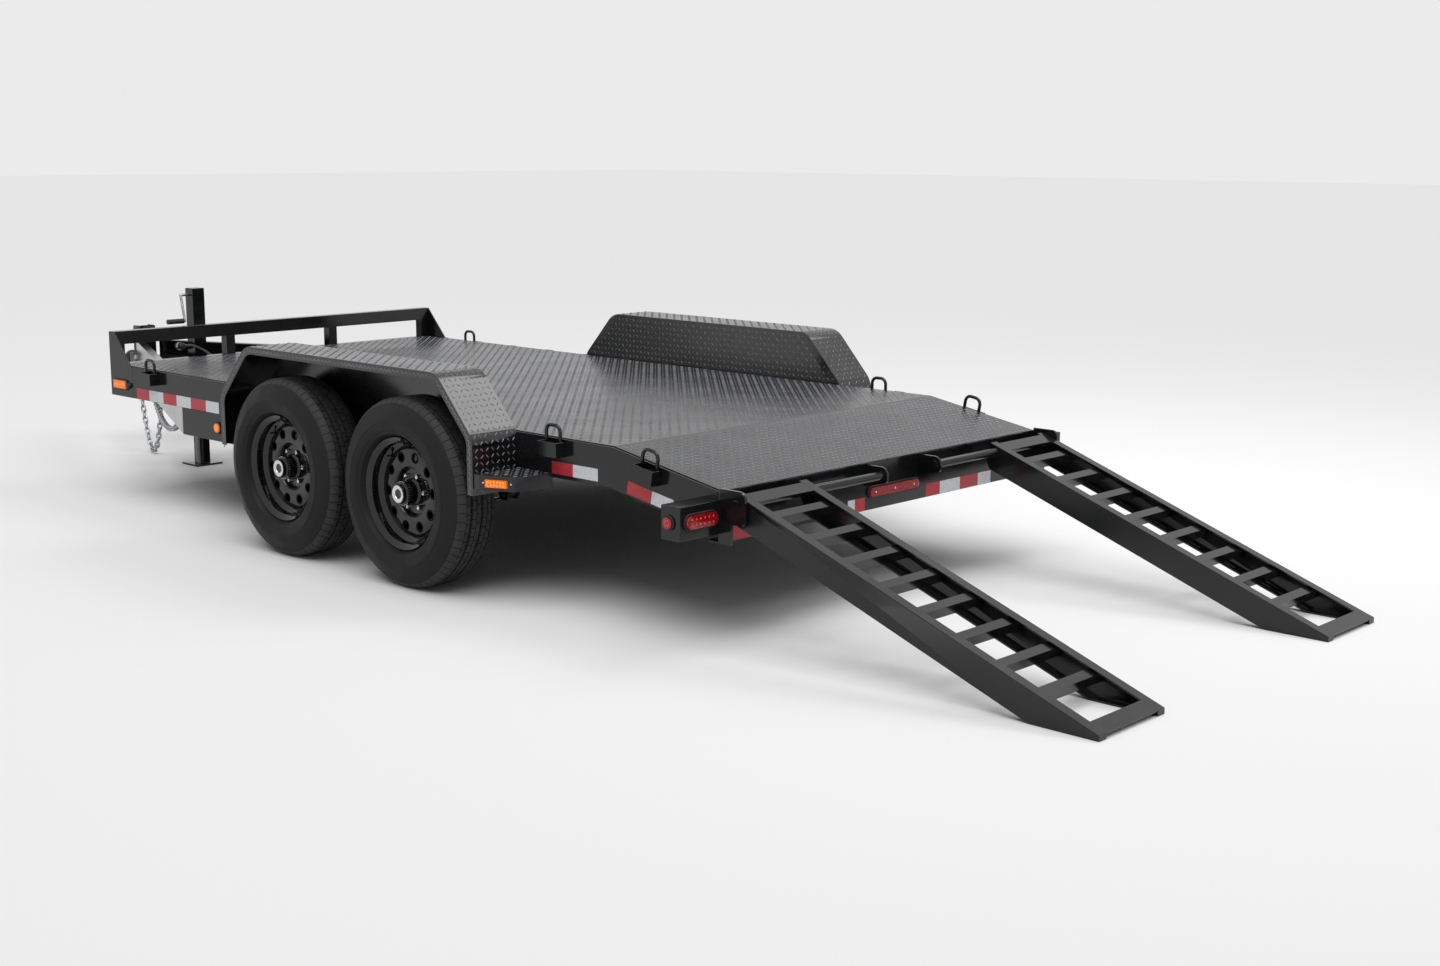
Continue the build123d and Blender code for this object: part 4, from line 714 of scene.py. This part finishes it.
def hanging_chain(start, end, drop):
    """Links along a slack run that hangs between two points, every second one turned."""
    bm = bmesh.new()
    gone, count = LINK_PITCH * MM, 0
    last = start
    steps = 1500
    for i in range(1, steps + 1):
        t = i / steps
        point = start.lerp(end, t) - Vector((0, 0, drop * MM * 4 * t * (1 - t)))
        gone += (point - last).length
        if gone >= LINK_PITCH * MM:
            roll = turned("X", 45 + 90 * (count % 2))
            turn = (point - last).to_track_quat("X", "Z").to_matrix().to_4x4()
            stamp(bm, link, Matrix.Translation(point) @ turn @ roll)
            gone -= LINK_PITCH * MM
            count += 1
        last = point
    return bm


smooth(finish_piece(hanging_chain(at(5195, 198, 354), at(4808, 290, 352), 334), "looped_chain", zinc,
                    "trailer"), 50)
smooth(finish_piece(hanging_chain(at(5100, 185, 354), at(3780, 800, 352), 98), "slack_chain", zinc,
                    "trailer"), 50)


# ---------------------------------------------------------------- lead and plug
LEAD_ROUTE = ((4104, 300, 566), (4150, 300, 567), (4205, 300, 590), (4280, 300, 618), (4360, 300, 640),
              (4430, 300, 652), (4490, 300, 652), (4530, 300, 645))
LEAD_RADIUS = 6
PLUG_PLACE = Matrix.Translation(at(4524, 300, 646)) @ turned("Z", -90) @ turned("X", -8)


def trailer_lead():
    """Wiring lead: out of the front crossmember and over into the back of its plug."""
    curve = bpy.data.curves.new("trailer_lead", "CURVE")
    curve.dimensions = "3D"
    line = curve.splines.new("NURBS")
    line.points.add(len(LEAD_ROUTE) - 1)
    for point, place in zip(line.points, LEAD_ROUTE):
        point.co = (*at(*place), 1)
    line.order_u = 3
    line.use_endpoint_u = True
    curve.resolution_u = 8
    curve.bevel_depth = LEAD_RADIUS * MM
    curve.bevel_resolution = 3
    curve.use_fill_caps = True
    curve.materials.append(sheath)
    piece = bpy.data.objects.new("trailer_lead", curve)
    bpy.context.scene.collection.objects.link(piece)
    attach(piece, "trailer")
    return piece


def lead_plug():
    """Round plug with a finger flange and a ribbed collar, held on a small bracket."""
    bm = spun([(7, 0), (9, 2), (14, 16), (14.5, 30), (17, 32), (17, 37), (19.5, 39), (19.5, 74),
               (17, 78), (15.5, 78), (15.5, 66), (6, 66), (6, 0)], 24)
    rib = bmesh.new()
    bmesh.ops.create_cube(rib, size=1)
    bmesh.ops.scale(rib, vec=(0.0022, 0.026, 0.0022), verts=rib.verts)
    rib = shape_of(rib)
    for k in range(16):
        stamp(bm, rib, turned("Y", 22.5 * k) @ Matrix.Translation((0.0196, 0.056, 0)))
    bmesh.ops.transform(bm, matrix=PLUG_PLACE, verts=bm.verts)
    return bm


def bracket():
    """Folded steel strap from the jack's cross channel up round the plug."""
    bm = spun([(18.6, 44), (21.6, 44), (21.6, 56), (18.6, 56)], 24)
    bmesh.ops.transform(bm, matrix=PLUG_PLACE, verts=bm.verts)
    leg = bmesh.new()
    bmesh.ops.create_cube(leg, size=1)
    bmesh.ops.scale(leg, vec=(0.004, 0.022, 0.048), verts=leg.verts)
    bmesh.ops.bevel(leg, geom=leg.edges[:], offset=0.001, offset_type="OFFSET", segments=2, profile=0.5,
                    affect="EDGES", material=-1)
    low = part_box("tongue_crossmember")[1][2] / MM
    stamp(bm, shape_of(leg), Matrix.Translation(at(4526, 300, low + 22)))
    return bm


lead = trailer_lead()
plug = smooth(finish_piece(lead_plug(), "lead_plug", soft_rubber, "trailer"), 30)
smooth(finish_piece(bracket(), "plug_bracket", zinc, "trailer"), 30)


# ---------------------------------------------------------------- welds and bolts
def bead_shape():
    """One ripple of a weld bead."""
    bm = bmesh.new()
    bmesh.ops.create_icosphere(bm, subdivisions=1, radius=1)
    bmesh.ops.scale(bm, vec=(0.0042, 0.0042, 0.0042), verts=bm.verts)
    return shape_of(bm)


bead = bead_shape()


def bead_run(bm, start, end):
    """A run of ripples from start to end."""
    count = max(2, round((end - start).length / 0.005))
    for i in range(count + 1):
        stamp(bm, bead, Matrix.Translation(start.lerp(end, i / count)))


RAMP_SLOPE = math.radians(19.885)
RAMP_EDGES = (576, 942)       # inner faces of the stringers' webs


def on_ramp(down, up, y):
    """A point down the lying ramp from its pivot, and square to it."""
    return at(-78 - down * math.cos(RAMP_SLOPE) - up * math.sin(RAMP_SLOPE), y,
              511.7 - down * math.sin(RAMP_SLOPE) + up * math.cos(RAMP_SLOPE))


def ramp_welds():
    """Beads where the left ramp's rungs meet its stringers."""
    bm = bmesh.new()
    for i in range(8):
        down = 127.5 + i * 164.2
        for y in RAMP_EDGES:
            bead_run(bm, on_ramp(down - 0.5, 8, y), on_ramp(down - 0.5, -24, y))
            bead_run(bm, on_ramp(down - 30, 12.5, y), on_ramp(down + 2, 12.5, y))
    return bm


def plate_welds():
    """Stitch welds along the plate's edges: across the tail and down both rails."""
    bm = bmesh.new()
    for k in range(-5, 6):
        bead_run(bm, at(-1, k * 168 - 32, 548), at(-1, k * 168 + 32, 548))
    for k in range(12):
        for side in (-955, 955):
            bead_run(bm, at(680 + k * 290, side, 641), at(730 + k * 290, side, 641))
    return bm


for side, sign in SIDES.items():
    welds = ramp_welds()
    if sign < 0:
        to_right(welds)
    smooth(finish_piece(welds, f"ramp_welds_{side}", weld_paint, f"ramp_{side}"), 80)
smooth(finish_piece(plate_welds(), "plate_welds", weld_paint, "trailer"), 80)


def ear_bolts():
    """Hexagon heads on the outer ears, at the ends of the pivot pipes."""
    bm = bmesh.new()
    bmesh.ops.create_cone(bm, cap_ends=True, segments=6, radius1=0.009, radius2=0.009, depth=0.007)
    bmesh.ops.bevel(bm, geom=bm.edges[:], offset=0.0012, offset_type="OFFSET", segments=2, profile=0.5,
                    affect="EDGES", material=-1)
    head = shape_of(bm)
    pair = bmesh.new()
    stamp(pair, head, Matrix.Translation(at(-82, 968, 507)) @ turned("X", -90))
    return mirrored_pair(pair)


smooth(finish_piece(ear_bolts(), "ear_bolts", zinc, "trailer"), 30)


def lamp_bases():
    """Black bases behind the corner lamps, with the lead's boot at their rear end."""
    bm = bmesh.new()
    bmesh.ops.create_cube(bm, size=1)
    bmesh.ops.scale(bm, vec=(0.128, 0.006, 0.052), verts=bm.verts)
    bmesh.ops.bevel(bm, geom=bm.edges[:], offset=0.0028, offset_type="OFFSET", segments=2, profile=0.5,
                    affect="EDGES", material=-1)
    base = shape_of(bm)
    boot = bmesh.new()
    bmesh.ops.create_cone(boot, cap_ends=True, segments=16, radius1=0.018, radius2=0.013,
                          depth=0.014)
    bmesh.ops.bevel(boot, geom=boot.edges[:], offset=0.002, offset_type="OFFSET", segments=2,
                    profile=0.5, affect="EDGES", material=-1)
    pair = bmesh.new()
    stamp(pair, base, Matrix.Translation(at(4005, 969, 548)))
    stamp(pair, shape_of(boot), Matrix.Translation(at(3930, 972, 546)) @ turned("X", -90))
    return mirrored_pair(pair)


smooth(finish_piece(lamp_bases(), "lamp_bases", soft_rubber, "trailer"), 30)


# ---------------------------------------------------------------- studio
FLOOR_COLOUR = "#f2f2f2"
BACKDROP = 0.83        # strength that the camera and reflections see beyond the floor
SOFTBOX = Vector((-2.4, -3.0, 5.4))     # side softbox, that shows in the sloped plates
AMBIENT = 0.34         # strength that lights the object from all round


def studio():
    """Pale floor that fades into an equally pale backdrop, under two soft lights."""
    bm = bmesh.new()
    bmesh.ops.create_grid(bm, x_segments=1, y_segments=1, size=80)
    bmesh.ops.translate(bm, verts=bm.verts, vec=(0, 0, -0.0005))
    mesh = bpy.data.meshes.new("studio_floor")
    bm.to_mesh(mesh)
    bm.free()
    floor = bpy.data.objects.new("studio_floor", mesh)
    bpy.context.scene.collection.objects.link(floor)
    # Matt white studio floor: takes the soft shadow.
    # Seen from underneath it is clear, so that the chassis shows.
    material, tree, shader = new_material("studio_white", Base_Color=srgb(FLOOR_COLOUR), Roughness=1.0,
                                          Specular_IOR_Level=0.0)
    clear = add(tree, "BsdfTransparent")
    side = add(tree, "NewGeometry")
    mix = add(tree, "MixShader", {"Fac": side.outputs["Backfacing"]})
    tree.links.new(shader.outputs["BSDF"], mix.inputs[1])
    tree.links.new(clear.outputs["BSDF"], mix.inputs[2])
    tree.links.new(mix.outputs["Shader"], tree.nodes["Material Output"].inputs["Surface"])
    mesh.materials.append(material)

    world = bpy.data.worlds.new("studio_world")
    world.use_nodes = True
    tree = world.node_tree
    path = add(tree, "LightPath")
    seen = add(tree, "Math", operation="MAXIMUM")
    tree.links.new(path.outputs["Is Camera Ray"], seen.inputs[0])
    tree.links.new(path.outputs["Is Glossy Ray"], seen.inputs[1])
    shown = add(tree, "Math", operation="MAXIMUM")
    tree.links.new(seen.outputs["Value"], shown.inputs[0])
    tree.links.new(path.outputs["Is Transmission Ray"], shown.inputs[1])
    strength = add(tree, "MapRange", {"Value": shown.outputs["Value"], "To Min": AMBIENT,
                                      "To Max": BACKDROP})
    tree.links.new(strength.outputs["Result"], tree.nodes["Background"].inputs["Strength"])
    tree.nodes["Background"].inputs["Color"].default_value = (1, 1, 1, 1)
    bpy.context.scene.world = world

    light = bpy.data.lights.new("broad_softbox", "SUN")
    light.energy = 1.85
    light.angle = math.radians(60)
    lamp = bpy.data.objects.new("broad_softbox", light)
    lamp.matrix_world = turned("Y", -16) @ turned("X", -14)
    bpy.context.scene.collection.objects.link(lamp)

    panel = bpy.data.lights.new("side_softbox", "AREA")
    panel.shape = "RECTANGLE"
    panel.size = 3.4
    panel.size_y = 2.6
    panel.energy = 95
    stand = bpy.data.objects.new("side_softbox", panel)
    facing = (Vector((-0.6, 0.2, 0.6)) - SOFTBOX).to_track_quat("-Z", "Y").to_matrix().to_4x4()
    stand.matrix_world = Matrix.Translation(SOFTBOX) @ facing
    bpy.context.scene.collection.objects.link(stand)


def camera():
    """Camera behind the trailer's left rear corner, 1.7 m up."""
    data = bpy.data.cameras.new("camera")
    data.lens = 45.68
    data.sensor_width = 36.0
    data.clip_end = 200
    eye = bpy.data.objects.new("camera", data)
    eye.matrix_world = (Matrix.Translation((-6.2651, 5.4616, 1.7206)) @ turned("Z", -137.03)
                        @ turned("X", 79.47) @ turned("Z", 0.3))
    bpy.context.scene.collection.objects.link(eye)
    bpy.context.scene.camera = eye


studio()
camera()
bpy.context.scene.view_settings.view_transform = "Standard"
